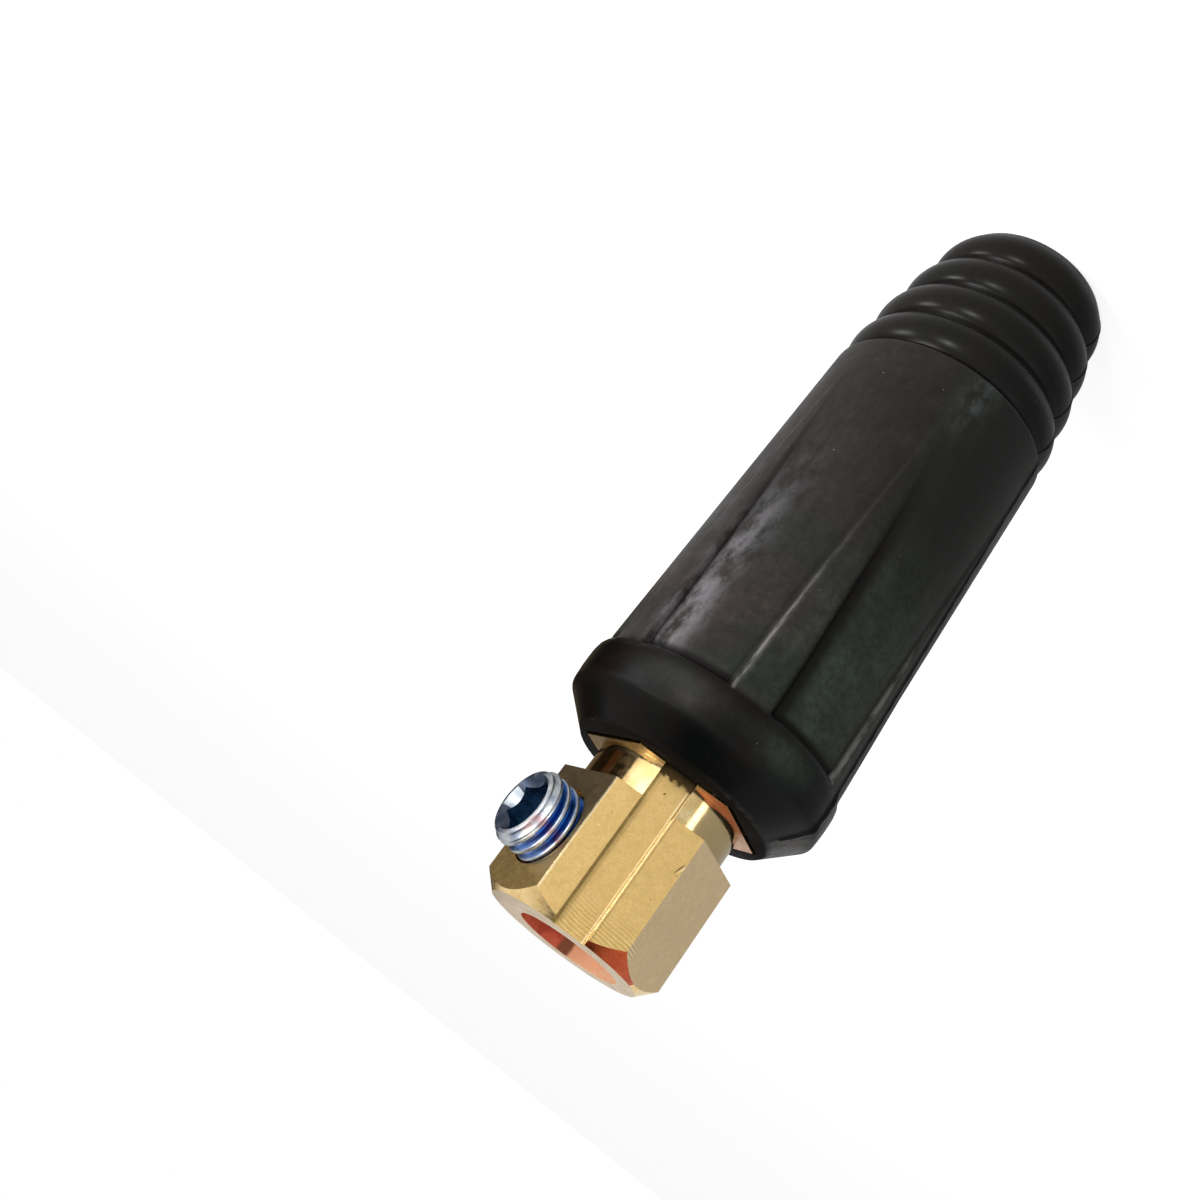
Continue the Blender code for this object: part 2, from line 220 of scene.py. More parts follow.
# Material nodes
class Nodes:
    """A small hand for building the nodes of one material or of the world, with places in millimetres."""

    def __init__(self, name, kind="materials"):
        self.owner = getattr(bpy.data, kind).new(name)
        self.owner.use_nodes = True
        self.tree = self.owner.node_tree
        self.shader = self.tree.nodes.get("Principled BSDF")
        scaled = self.add("ShaderNodeVectorMath", operation="SCALE")
        self.link(self.add("ShaderNodeTexCoord").outputs["Object"], scaled.inputs[0])
        scaled.inputs["Scale"].default_value = 1 / MM
        self.place = scaled.outputs[0]

    def add(self, kind, **settings):
        node = self.tree.nodes.new(kind)
        for name, value in settings.items():
            setattr(node, name, value)
        return node

    def link(self, source, target):
        if isinstance(source, bpy.types.NodeSocket):
            self.tree.links.new(source, target)
        elif isinstance(source, (tuple, list)) and len(source) == 3 and target.type == "RGBA":
            target.default_value = (*source, 1.0)
        else:
            target.default_value = source

    def math(self, operation, a, b=0.0):
        node = self.add("ShaderNodeMath", operation=operation)
        self.link(a, node.inputs[0])
        self.link(b, node.inputs[1])
        return node.outputs[0]

    def times(self, a, b):
        return self.math("MULTIPLY", a, b)

    def plus(self, a, b):
        return self.math("ADD", a, b)

    def minus(self, a, b):
        return self.math("SUBTRACT", a, b)

    def ramp(self, value, low, high, start=0.0, end=1.0):
        """A smooth step from start to end as value goes from low to high."""
        node = self.add("ShaderNodeMapRange", interpolation_type="SMOOTHSTEP")
        self.link(value, node.inputs["Value"])
        for name, number in (("From Min", low), ("From Max", high), ("To Min", start), ("To Max", end)):
            node.inputs[name].default_value = number
        return node.outputs["Result"]

    def mix(self, share, a, b):
        node = self.add("ShaderNodeMix", data_type="RGBA")
        self.link(share, node.inputs["Factor"])
        self.link(a, node.inputs["A"])
        self.link(b, node.inputs["B"])
        return node.outputs["Result"]

    def texture(self, kind, scale):
        mapping = self.add("ShaderNodeMapping")
        mapping.inputs["Scale"].default_value = scale
        self.link(self.place, mapping.inputs["Vector"])
        node = self.add(kind)
        self.link(mapping.outputs["Vector"], node.inputs["Vector"])
        node.inputs["Scale"].default_value = 1.0
        return node

    def noise(self, size, detail=3.0, stretch=(1, 1, 1), roughness=0.55):
        """Noise whose features are about this many millimetres wide."""
        node = self.texture("ShaderNodeTexNoise", [s / size for s in stretch])
        node.inputs["Detail"].default_value = detail
        node.inputs["Roughness"].default_value = roughness
        return node.outputs["Fac"]

    def vary(self, size, start, end, detail=3.0):
        """A value that wanders between start and end in soft patches."""
        return self.ramp(self.noise(size, detail), 0.3, 0.7, start, end)

    def tool_rings(self, size, along, depth, strength):
        """The normal of fine rings round the axis, as a turning tool leaves them."""
        return self.bump(self.noise(size, 2, (along, along, 1)), depth, strength)

    def spots(self, spacing, radius):
        """1 inside small round spots and 0 between them."""
        node = self.texture("ShaderNodeTexVoronoi", [1 / spacing] * 3)
        return self.ramp(node.outputs["Distance"], radius, radius * 1.6, 1.0, 0.0)

    def attribute(self, name):
        return self.add("ShaderNodeAttribute", attribute_name=name).outputs["Fac"]

    def axis(self, letter):
        node = self.add("ShaderNodeSeparateXYZ")
        self.link(self.place, node.inputs[0])
        return node.outputs[letter]

    def distance_along(self, direction):
        node = self.add("ShaderNodeVectorMath", operation="DOT_PRODUCT")
        self.link(self.place, node.inputs[0])
        node.inputs[1].default_value = direction
        return node.outputs["Value"]

    def turn(self, ragged, size=1.8, detail=5, center=0.0):
        """The turn in degrees round an upright line at x = center, made ragged by noise."""
        turn = self.math("ARCTAN2", self.axis("Y"), self.minus(self.axis("X"), center))
        sway = self.times(self.minus(self.noise(size, detail), 0.5), ragged)
        return self.plus(self.times(turn, math.degrees(1)), sway)

    def bump(self, height, distance, strength=1.0, after=None):
        node = self.add("ShaderNodeBump")
        node.inputs["Strength"].default_value = strength
        node.inputs["Distance"].default_value = distance * MM
        self.link(height, node.inputs["Height"])
        if after is not None:
            self.link(after, node.inputs["Normal"])
        return node.outputs["Normal"]

    def finish(self, color, roughness, normal=None, metallic=0.0, **sockets):
        self.link(color, self.shader.inputs["Base Color"])
        self.link(roughness, self.shader.inputs["Roughness"])
        self.shader.inputs["Metallic"].default_value = metallic
        if normal is not None:
            self.link(normal, self.shader.inputs["Normal"])
        for name, value in sockets.items():
            self.shader.inputs[name.replace("_", " ")].default_value = value
        return self.owner


def rubber_material():
    """Black moulded rubber: satin, mottled warm and cool, with pale bloom and dust specks, a painted greenish
    reflection on one side, painted shade in the grooves and painted highlights on lit edges.
    """
    n = Nodes("rubber_moulded")
    aged_and_painted_light, painted_green_reflection = n.attribute("aged_and_painted_light"), n.attribute("painted_green_reflection")
    warm = n.ramp(n.noise(12, 5), 0.42, 0.58)
    panel = n.mix(warm, (0.0225, 0.0255, 0.0225), (0.0370, 0.0292, 0.0255))
    up_front = n.ramp(n.axis("Z"), 44, 68)
    panel = n.mix(up_front, (0.0256, 0.02224, 0.0200), panel)
    # Painted reflection: a greenish tone on the side round -92°, lighter towards the collar and darker
    # towards the ribs
    cool = n.mix(up_front, (0.0140, 0.0155, 0.0135), (0.0500, 0.0650, 0.0520))
    panel = n.mix(painted_green_reflection, panel, cool)
    panel = n.mix(n.vary(1.1, 0.0, 0.45, 5), panel, (0.0120, 0.0115, 0.0105))
    warm_fresh = n.ramp(n.noise(8.0, 5), 0.40, 0.56)
    fresh = n.mix(warm_fresh, (0.0014, 0.0021, 0.0017), (0.0038, 0.0022, 0.0020))
    color = n.mix(aged_and_painted_light, fresh, panel)
    mottle = n.ramp(n.noise(4.5, 6, roughness=0.62), 0.34, 0.66, 0.0, 0.42)
    color = n.mix(n.times(mottle, aged_and_painted_light), color, (0.0100, 0.0096, 0.0090))
    color = n.mix(n.ramp(n.noise(0.45), 0.40, 0.70, 0.0, 0.22), color, (0.0060, 0.0056, 0.0052))
    # Painted shade: near black in the moulded grooves, on the dark side of the parting line and round the
    # mouth's rim
    color = n.mix(n.attribute("painted_shade"), color, (0.0022, 0.0013, 0.0010))
    patchy = n.ramp(n.noise(2.3, 7, (1, 1, 0.6), 0.68), 0.36, 0.66)
    pale = n.mix(painted_green_reflection, (0.150, 0.142, 0.153), (0.100, 0.128, 0.112))
    color = n.mix(n.times(n.attribute("bloom_and_sheen"), patchy), color, pale)
    streaks = n.ramp(n.noise(1.1, 6, (1, 1, 0.25), 0.7), 0.36, 0.60)
    # Painted highlight: pale streaks where light catches the lands' edges, the beads and the mouth's lip, and
    # a painted reflection under the parting line
    color = n.mix(n.times(n.attribute("painted_highlight"), streaks), color, (0.15, 0.142, 0.135))
    dust = n.times(n.spots(2.3, 0.035), n.ramp(n.noise(7), 0.50, 0.62, 0.0, 0.6))
    color = n.mix(dust, color, (0.16, 0.14, 0.12))
    rough = n.ramp(n.noise(5.5, 6), 0.25, 0.75, 0.21, 0.31)
    for name, amount in (("aged_and_painted_light", 0.14), ("dull", 0.18), ("painted_shade", 0.30), ("polished", -0.05)):
        rough = n.plus(rough, n.times(n.attribute(name), amount))
    grain = n.bump(n.noise(0.35, 4), 0.010, 0.4)
    waves = n.bump(n.noise(6.5), 0.10, 0.35, after=grain)
    return n.finish(color, rough, waves, Specular_IOR_Level=0.07)


def darker(tone, share):
    return tuple(part * share for part in tone)


def brass_base(n, light, dark, size):
    """Two close brass tones in soft patches, with fine dark flecks."""
    patches = n.ramp(n.noise(size, 6, roughness=0.6), 0.35, 0.65)
    color = n.mix(patches, dark, light)
    grain = n.ramp(n.noise(0.24), 0.35, 0.65, 0.0, 0.30)
    color = n.mix(grain, color, darker(dark, 0.66))
    flecks = n.times(n.spots(0.85, 0.07), n.ramp(n.noise(2.2), 0.52, 0.64))
    return n.mix(flecks, color, darker(dark, 0.35))


def around_keyway(n):
    """Signed distance along the keyway's flat, and 1 on that side of the insert and 0 on the others."""
    at_flat = n.ramp(n.distance_along(KEYWAY_OUT), HEX_FLATS / 2 - 1.6, HEX_FLATS / 2 - 1.4)
    return n.distance_along(KEYWAY_SIDE), at_flat


def band(n, value, middle, width):
    """1 in the middle of a band and 0 outside it, in millimetres."""
    away = n.math("ABSOLUTE", n.minus(value, middle))
    return n.ramp(away, width * 0.35, width * 0.65, 1.0, 0.0)


GLINT_TONE = (0.98, 0.80, 0.46)
SHADE_LINE_TONE = (0.26, 0.15, 0.045)
NICK_SHADE = (0.11, 0.065, 0.02)

# Painted light and shade along the keyway's flat: the painted shadow of the keyway's left wall, a painted
# glint and painted shade lines at its right edge, and a painted highlight along the flat's corner; place
# across it, width, strength and tone
KEYWAY_SHADE_AND_GLINT_LINES = (
    (KEYWAY_LEFT - 0.20, 0.38, 0.72, (0.19, 0.13, 0.04)),
    (KEYWAY_LEFT - 0.40, 0.90, 0.22, (0.27, 0.19, 0.06)),
    (KEYWAY_RIGHT + 0.34, 0.20, 0.80, GLINT_TONE),
    (KEYWAY_RIGHT + 0.15, 0.18, 0.70, SHADE_LINE_TONE),
    (KEYWAY_RIGHT - 0.24, 0.16, 0.45, SHADE_LINE_TONE),
    (HEX_CORNER / 2 - 0.12, 0.22, 0.80, (0.99, 0.84, 0.52)),
)

# Nicks and pits there, with painted glints on lips and painted shade in hollows: place across, depth under
# the top, half width and height, strength and tone
NICKS = (
    (-5.92, 12.98, 0.16, 0.60, 0.55, GLINT_TONE),
    (-5.62, 12.92, 0.10, 0.85, 0.85, NICK_SHADE),
    (0.54, 19.07, 0.14, 0.17, 0.90, NICK_SHADE),
    (4.50, 11.53, 0.22, 0.12, 0.40, GLINT_TONE),
)


def chatter_marks(n, across, height, at_keyway):
    """Waves left by the cutter near the keyway's open end, and 1 where they lie."""
    beside = n.ramp(across, KEYWAY_LEFT - 0.2, KEYWAY_LEFT + 0.4, 1.0, 0.15)
    top = n.ramp(height, INSERT_TOP - 6.0, INSERT_TOP - 2.6)
    near_end = n.times(top, n.times(at_keyway, beside))
    phase = n.plus(n.plus(height, n.times(across, 0.10)), n.times(n.noise(5.0, 2), 0.5))
    waves = n.math("SINE", n.times(phase, math.tau / CHATTER_PITCH))
    breaks = n.ramp(n.noise(1.6, 4), 0.30, 0.55, 0.3, 1.0)
    return n.times(n.times(waves, near_end), breaks), near_end


def screw_flat_painted_darkening(n, height):
    """How much painted shade and dark reflection the flat round the clamp screw gets: most low down, and none
    on the other flats.
    """
    on_flat = n.ramp(n.axis("X"), HEX_FLATS / 2 - 0.2, HEX_FLATS / 2 - 0.05)
    fade = n.ramp(height, INSERT_TOP - 14.53, INSERT_TOP - 5.53, 0.90, 0.12)
    return n.times(on_flat, n.times(fade, n.vary(0.9, 0.85, 1.0, 6)))


def slot_painted_shadow(n, across, height, at_keyway):
    """Painted shadow with a ragged edge, deep in the keyway over the flange, where the rubber's mouth shades
    it.
    """
    ragged = n.plus(height, n.times(n.noise(0.8, 4), 2.4))
    low = n.ramp(ragged, FLANGE_TOP + 2.0, FLANGE_TOP + 2.5, 0.92, 0.0)
    in_slot = n.ramp(across, KEYWAY_LEFT, KEYWAY_LEFT + 0.2, 1.0, 0.0)
    return n.times(low, n.times(in_slot, at_keyway))


def brass_drawn_material(name, light, dark, smudge, smudge_share):
    """Drawn hexagon bar: fine lengthwise lines, pits, smudges, and cutter marks near the keyway's end, with
    painted shadow, glints and highlights along the keyway and a corner, and painted shade by the screw and
    over the flange.
    """
    n = Nodes(name)
    color = brass_base(n, light, dark, 1.1)
    stain = n.ramp(n.noise(2.2, 8, roughness=0.72), 0.48, 0.66, 0.0, smudge_share)
    color = n.mix(stain, color, smudge)
    height = n.axis("Z")
    across, at_keyway = around_keyway(n)
    chatter, near_end = chatter_marks(n, across, height, at_keyway)
    shade = n.ramp(chatter, -0.9, 0.5, 0.42, 0.0)
    color = n.mix(n.times(shade, near_end), color, darker(dark, 0.60))
    rim = n.times(n.ramp(n.noise(1.2, 5), 0.30, 0.55, 0.65, 1.0), at_keyway)
    # Painted shadow, glints and shade lines along the keyway, and a painted highlight along the flat's corner
    for middle, width, strength, tone in KEYWAY_SHADE_AND_GLINT_LINES:
        line = n.times(band(n, across, middle, width), n.times(rim, strength))
        color = n.mix(line, color, tone)
    # Painted shade and dark reflection on the flat round the clamp screw
    color = n.mix(screw_flat_painted_darkening(n, height), color, (0.195, 0.155, 0.105))
    # Painted shadow of the rubber's mouth in the keyway over the flange
    color = n.mix(slot_painted_shadow(n, across, height, at_keyway), color, (0.060, 0.034, 0.014))
    color = add_nicks(n, color, across, height, at_keyway)
    lines = n.bump(n.noise(0.22, 3, (1, 1, 0.06)), 0.006, 0.6)
    marks = n.bump(chatter, 0.02, 0.7, after=lines)
    pits = n.bump(n.noise(0.5, 5), 0.02, 0.45, after=marks)
    return n.finish(color, n.vary(0.7, 0.34, 0.39, 4), pits, metallic=1.0)


def add_nicks(n, color, across, height, at_keyway):
    """A slanting nick beside the keyway with a painted glint on its lip and painted shade inside, and two
    small pits, one painted shade and one a painted glint.
    """
    for middle, depth, width, tall, strength, tone in NICKS:
        rise = n.minus(height, INSERT_TOP - depth)
        aside = n.minus(n.minus(across, middle), n.times(rise, NICK_LEAN))
        aside = n.times(aside, 1 / width)
        above = n.times(rise, 1 / tall)
        away = n.plus(n.times(aside, aside), n.times(above, above))
        mark = n.times(n.ramp(away, 0.3, 1.2, strength, 0.0), at_keyway)
        color = n.mix(mark, color, tone)
    return color


def brass_flange_material():
    """The flange's face in the mouth: dull brass, with a painted copper-red reflection on one side and a
    painted pink reflection at a corner.
    """
    n = Nodes("brass_flange")
    color = brass_base(n, (0.26, 0.18, 0.075), (0.19, 0.12, 0.048), 1.6)
    turn = n.turn(5.0)
    # Painted reflections: copper red at lower turns and pink lower still
    color = n.mix(n.ramp(turn, -78.0, -70.0, 1.0, 0.0), color, (0.44, 0.13, 0.05))
    color = n.mix(n.ramp(turn, -136.0, -122.0, 1.0, 0.0), color, (0.56, 0.36, 0.25))
    return n.finish(color, n.vary(1.2, 0.46, 0.58, 4), metallic=1.0)


def brass_neck_material():
    """The polished neck, with a painted dark-brown reflection in patches on the side towards the clamp screw
    and a painted dull-brass reflection beyond a turn of -81°.
    """
    n = Nodes("brass_neck")
    color = brass_base(n, (0.95, 0.74, 0.38), (0.80, 0.57, 0.24), 2.0)
    turn = n.turn(9.0)
    # Painted reflections in bands round the neck
    dark_reflection = n.times(n.ramp(turn, -33.0, -27.0), n.ramp(turn, 60.0, 90.0, 0.55, 0.0))
    color = n.mix(dark_reflection, color, (0.20, 0.12, 0.055))
    color = n.mix(n.ramp(turn, -90.0, -81.0, 0.85, 0.0), color, (0.44, 0.33, 0.17))
    rings = n.tool_rings(0.16, 0.02, 0.006, 0.5)
    return n.finish(color, n.vary(1.2, 0.07, 0.14, 4), rings, metallic=1.0)


def brass_turned_material():
    """Turned brass: bright, with fine rings left by the tool."""
    n = Nodes("brass_turned")
    color = brass_base(n, (0.78, 0.56, 0.25), (0.62, 0.42, 0.16), 2.0)
    rings = n.tool_rings(0.16, 0.02, 0.008, 0.7)
    return n.finish(color, n.vary(1.2, 0.12, 0.22, 4), rings, metallic=1.0)


def brass_face_material():
    """The faced cable end: grey-beige, with rings round the axis."""
    n = Nodes("brass_faced_end")
    color = brass_base(n, (0.60, 0.46, 0.28), (0.48, 0.35, 0.19), 2.5)
    x, y = n.axis("X"), n.axis("Y")
    radius = n.math("SQRT", n.plus(n.times(x, x), n.times(y, y)))
    rings = n.math("SINE", n.times(radius, math.tau / FACING_PITCH))
    return n.finish(color, n.vary(1.2, 0.30, 0.42, 4), n.bump(rings, 0.008, 0.7), metallic=1.0)


def brass_chamfer_material(name, light, dark):
    """The turned chamfer, with tool rings and the tint it is given, which in the red copy is a painted
    reflection.
    """
    n = Nodes(name)
    color = brass_base(n, light, dark, 1.6)
    rings = n.tool_rings(0.2, 0.05, 0.01, 0.7)
    return n.finish(color, n.vary(1.0, 0.24, 0.36, 4), rings, metallic=1.0)


def bore_material():
    """The drilled bore: a red copper tint on one side as painted shade, peach on the other as painted light,
    and a brown stripe between.
    """
    n = Nodes("brass_bore")
    turn = n.turn(10.0, 3.0, 3, BORE_OFFSET)
    # Red is painted shade and peach is painted light
    red = n.mix(n.ramp(n.noise(2.0, 4), 0.40, 0.62), (0.56, 0.090, 0.046), (0.76, 0.165, 0.085))
    peach = n.mix(n.ramp(n.noise(3.0), 0.40, 0.62), (0.98, 0.50, 0.28), (1.0, 0.62, 0.38))
    color = n.mix(n.ramp(turn, 107.0, 113.0), red, (0.26, 0.09, 0.045))
    color = n.mix(n.ramp(turn, 121.0, 126.0), color, peach)
    color = n.mix(n.ramp(turn, -65.0, -55.0, 1.0, 0.0), color, peach)
    rings = n.tool_rings(0.25, 0.03, 0.012, 0.6)
    return n.finish(color, n.vary(1.0, 0.34, 0.46), rings, metallic=0.22)


def burr_material():
    n = Nodes("brass_burr")
    color = brass_base(n, (0.95, 0.76, 0.42), (0.84, 0.62, 0.30), 0.7)
    return n.finish(color, n.vary(0.6, 0.34, 0.44), metallic=1.0)


def zinc_material():
    """Blue-passivated zinc: silver crests and blue grooves, paler on one side, with red-brown patches."""
    n = Nodes("zinc_blue")
    height = n.axis("Z")
    high_side = n.ramp(height, SCREW_HEIGHT + 1.6, SCREW_HEIGHT + 4.0)
    from_middle = n.math("ABSOLUTE", n.minus(height, SCREW_HEIGHT + 1.9))
    middle = n.ramp(from_middle, 0.6, 1.9, 1.0, 0.0)
    middle = n.times(middle, n.ramp(n.axis("Y"), -1.0, 0.5, 1.0, 0.0))
    violet = n.times(n.ramp(n.noise(2.0, 4), 0.40, 0.56), middle)
    pale = n.math("MAXIMUM", n.ramp(n.noise(3.4), 0.52, 0.68, 0.0, 0.5), high_side)
    groove = n.mix(violet, (0.018, 0.105, 0.38), (0.10, 0.06, 0.20))
    groove = n.mix(n.times(pale, 0.8), groove, (0.22, 0.35, 0.70))
    crest = n.mix(n.ramp(n.noise(1.6, 4), 0.42, 0.64), (0.43, 0.46, 0.47), (0.26, 0.30, 0.38))
    crest = n.mix(n.times(violet, 0.8), crest, (0.30, 0.17, 0.16))
    color = n.mix(n.ramp(n.attribute("valley"), 0.06, 0.42), crest, groove)
    scuffs = n.bump(n.noise(0.5), 0.008, 0.6)
    return n.finish(color, n.vary(1.4, 0.28, 0.42, 4), scuffs, metallic=1.0)


def socket_material(name, dark, light):
    """The key socket's walls: duller blue-grey plate with streaks from the broach; its darker zinc_shaded
    copy is painted shade.
    """
    n = Nodes(name)
    color = n.mix(n.ramp(n.noise(2.2), 0.4, 0.6), dark, light)
    streaks = n.bump(n.noise(0.5, 2, (0.1, 1, 1)), 0.01, 0.5)
    return n.finish(color, n.vary(1.4, 0.24, 0.38), streaks, metallic=1.0)


def ring_material():
    """The screw's end ring: dull silver towards the keyway as painted light, and dark on the far side as
    painted shade.
    """
    n = Nodes("zinc_ring")
    # Painted light and shade across the ring
    far = n.ramp(n.axis("Y"), -2.6, 0.6)
    color = n.mix(far, (0.62, 0.64, 0.66), (0.060, 0.075, 0.11))
    color = n.mix(n.ramp(n.noise(1.1, 4), 0.50, 0.62, 0.0, 0.6), color, (0.30, 0.34, 0.42))
    return n.finish(color, n.vary(0.8, 0.44, 0.56), metallic=1.0)


def floor_material():
    """A white floor that keeps shadows, lifted to plain white for the camera and reflections."""
    n = Nodes("floor_white")
    n.finish((0.78, 0.78, 0.78), 0.9, Specular_IOR_Level=0.0)
    seen = light_path_share(n, FLOOR_SEEN_LIFT, FLOOR_MIRRORED_LIFT)
    n.link((1.0, 1.0, 1.0), n.shader.inputs["Emission Color"])
    n.link(seen, n.shader.inputs["Emission Strength"])
    return n.owner


def light_path_share(n, seen_amount, mirrored_amount):
    """One amount for camera rays, one for glossy and transmission rays, and nothing for the rest."""
    path = n.add("ShaderNodeLightPath")
    mirrored = n.math("MAXIMUM", path.outputs["Is Glossy Ray"], path.outputs["Is Transmission Ray"])
    seen = n.times(path.outputs["Is Camera Ray"], seen_amount)
    return n.plus(seen, n.times(mirrored, mirrored_amount))


# Meshes
def new_object(name, data):
    obj = bpy.data.objects.new(name, data)
    bpy.context.scene.collection.objects.link(obj)
    return obj


def mesh_object(name, vertices, faces, materials=()):
    mesh = bpy.data.meshes.new(name)
    mesh.from_pydata([tuple(v) for v in vertices], [], [tuple(f) for f in faces])
    for material in materials:
        mesh.materials.append(material)
    return new_object(name, mesh)


def paint(obj, name, values):
    """Gives each point a number that the materials read by this name."""
    layer = obj.data.attributes.new(name, "FLOAT", "POINT")
    layer.data.foreach_set("value", np.ascontiguousarray(values, np.float32).ravel())


def face_outwards(obj):
    bm = bmesh.new()
    bm.from_mesh(obj.data)
    bmesh.ops.recalc_face_normals(bm, faces=bm.faces)
    bm.to_mesh(obj.data)
    bm.free()


def sharpen(obj, angle):
    """Smooth shading, but for edges that bend by more than this angle."""
    obj.data.shade_smooth()
    obj.data.set_sharp_from_angle(angle=math.radians(angle))


def ring_faces(rings, lines, closed):
    """Quads that join rings of lines points each, and the last ring to the first if closed."""
    ring = np.arange(rings if closed else rings - 1)[:, None]
    line = np.arange(lines)[None, :]
    after = (line + 1) % lines
    above = (ring + 1) % rings
    quads = (ring * lines + line, above * lines + line, above * lines + after, ring * lines + after)
    return np.stack([np.broadcast_to(q, (ring.size, lines)) for q in quads], -1).reshape(-1, 4)


def around_axis(radius, turn, height):
    """Points in millimetres from their radius, turn in radians and height."""
    places = np.broadcast_arrays(radius * np.cos(turn), radius * np.sin(turn), height)
    return np.stack(places, -1).reshape(-1, 3)


def ring_solid(name, radius, turn, height, materials=()):
    """A closed solid made of rings of points, with the first and the last ring filled."""
    rings, lines = len(radius), len(turn)
    last = (rings - 1) * lines
    faces = list(ring_faces(rings, lines, closed=False))
    faces += [tuple(range(lines)), tuple(reversed(range(last, last + lines)))]
    obj = mesh_object(name, around_axis(radius, turn, height) * MM, faces, materials)
    face_outwards(obj)
    return obj


def rounded(points, spacing, radius):
    """A polyline as close points with its corners rounded off to about this radius."""
    points = np.array(points, float)
    steps = np.hypot(*np.diff(points, axis=0).T)
    along = np.concatenate([[0], np.cumsum(steps)])
    fine = np.arange(0, along[-1], spacing)
    line = np.stack([np.interp(fine, along, points[:, i]) for i in range(2)], 1)
    reach = int(3 * radius / spacing)
    kernel = np.exp(-(np.arange(-reach, reach + 1) * spacing / radius) ** 2)
    kernel /= kernel.sum()
    padded = np.concatenate([2 * line[0] - line[reach:0:-1], line, 2 * line[-1] - line[-2:-reach - 2:-1]])
    return np.stack([np.convolve(padded[:, i], kernel, "valid") for i in range(2)], 1)


def thinned(line, count, bend_weight):
    """Picks count points of a close line, closer together where it bends."""
    steps = np.hypot(*np.diff(line, axis=0).T)
    heading = np.unwrap(np.arctan2(*np.diff(line, axis=0).T))
    bend = np.abs(np.gradient(heading))
    cost = np.concatenate([[0], np.cumsum(steps + bend_weight * bend)])
    wanted = np.linspace(0, cost[-1], count)
    return np.stack([np.interp(wanted, cost, line[:, i]) for i in range(2)], 1)


# Rubber sleeve
SLEEVE_STATIONS = 236
CREST_LINES = 6
EDGE_LINES = 5
PANEL_LINES = 13
HALF_LINES = CREST_LINES + EDGE_LINES + PANEL_LINES
SLEEVE_LINES = 2 * HALF_LINES * LAND_COUNT


def panel_radius(height):
    return BODY_REAR_RADIUS + BODY_TAPER * (height - RIBS_TOP) / (PANEL_FRONT - RIBS_TOP)


def groove_shares(angle, height):
    """The moulded grooves: beside each land's shaded edge, beside its lit edge, and behind the collar."""
    around = within_sector(angle - LAND_TURN, LAND_SECTOR)
    half = land_half_angle(height)
    relief = smooth(36, 60, height) * (height < COLLAR_BACK)
    shaded = hill(around + half, -1.5, 1.1) * relief
    lit = hill(around - half, 1.9, 0.9) * relief
    on_panel = smooth(-0.6, 0.9, np.abs(around) - half)
    front = hill(height, PANEL_FRONT - 0.05, 0.60) * on_panel * (height < COLLAR_BACK)
    return shaded, lit, front


def land_fade(height):
    return np.clip((PANEL_FRONT - height) / (PANEL_FRONT - LAND_END), 0, 1)


def land_half_angle(height):
    narrowing = 1 - land_fade(height) ** LAND_NARROWING_POWER
    return LAND_TIP_HALF_ANGLE + (LAND_HALF_ANGLE - LAND_TIP_HALF_ANGLE) * narrowing


def panel_carve(height):
    """How deep the panels lie below the lands at a height."""
    front = 1 - smooth(PANEL_FRONT, COLLAR_BACK, height)
    behind = smooth(LAND_END, LAND_END + 2.0, height)
    return PANEL_DEPTH * (1 - land_fade(height)) * front * behind


def crest_radius(height):
    return BODY_REAR_RADIUS - RIB_END_DROP * (1 - height / RIBS_TOP) ** RIB_TAPER_POWER


def rib_points():
    """The cable end's beads, from the body down to the rear edge."""
    points = []
    steps = 24
    for rib in range(RIB_COUNT):
        for step in range(0 if rib == 0 else 1, steps + 1):
            share = step / steps
            height = RIBS_TOP - RIB_PITCH * (rib + share)
            rise = math.sin(math.pi * share) ** RIB_ROUNDNESS
            points.append((crest_radius(max(height, 0)) - RIB_DEPTH * (1 - rise), height))
    return [p for p in points if p[1] > 0.6 * REAR_EDGE]


def outer_profile():
    """The outside of the sleeve over its lands, from the mouth's edge to the rear face."""
    nose_low = SLEEVE_LENGTH - NOSE_CONE_HEIGHT
    bulge = COLLAR_RADIUS + COLLAR_BULGE
    points = [
        (MOUTH_RADIUS - MOUTH_EDGE, SLEEVE_LENGTH),
        (MOUTH_RADIUS, SLEEVE_LENGTH - MOUTH_EDGE),
        (COLLAR_RADIUS - 0.1, nose_low + 0.1),
        (COLLAR_RADIUS, nose_low - 0.2),
        (bulge, COLLAR_BACK + COLLAR_BULGE_FROM_BACK + COLLAR_BULGE_LENGTH),
        (bulge, COLLAR_BACK + COLLAR_BULGE_FROM_BACK),
        (LAND_RADIUS, COLLAR_BACK),
    ]
    points += [(panel_radius(h) + PANEL_DEPTH * (1 - float(land_fade(h))), h)
               for h in np.linspace(PANEL_FRONT, LAND_END, 12)]
    step_top = RIBS_TOP + RIBS_STEP_LENGTH
    points += [(panel_radius(step_top), step_top), (BODY_REAR_RADIUS - RIBS_STEP, RIBS_TOP + 0.3)]
    points += rib_points()
    rear = crest_radius(0) - REAR_EDGE / 3
    points += [(rear - 0.42, 0.3), (rear - 0.75, 0.0)]
    return points


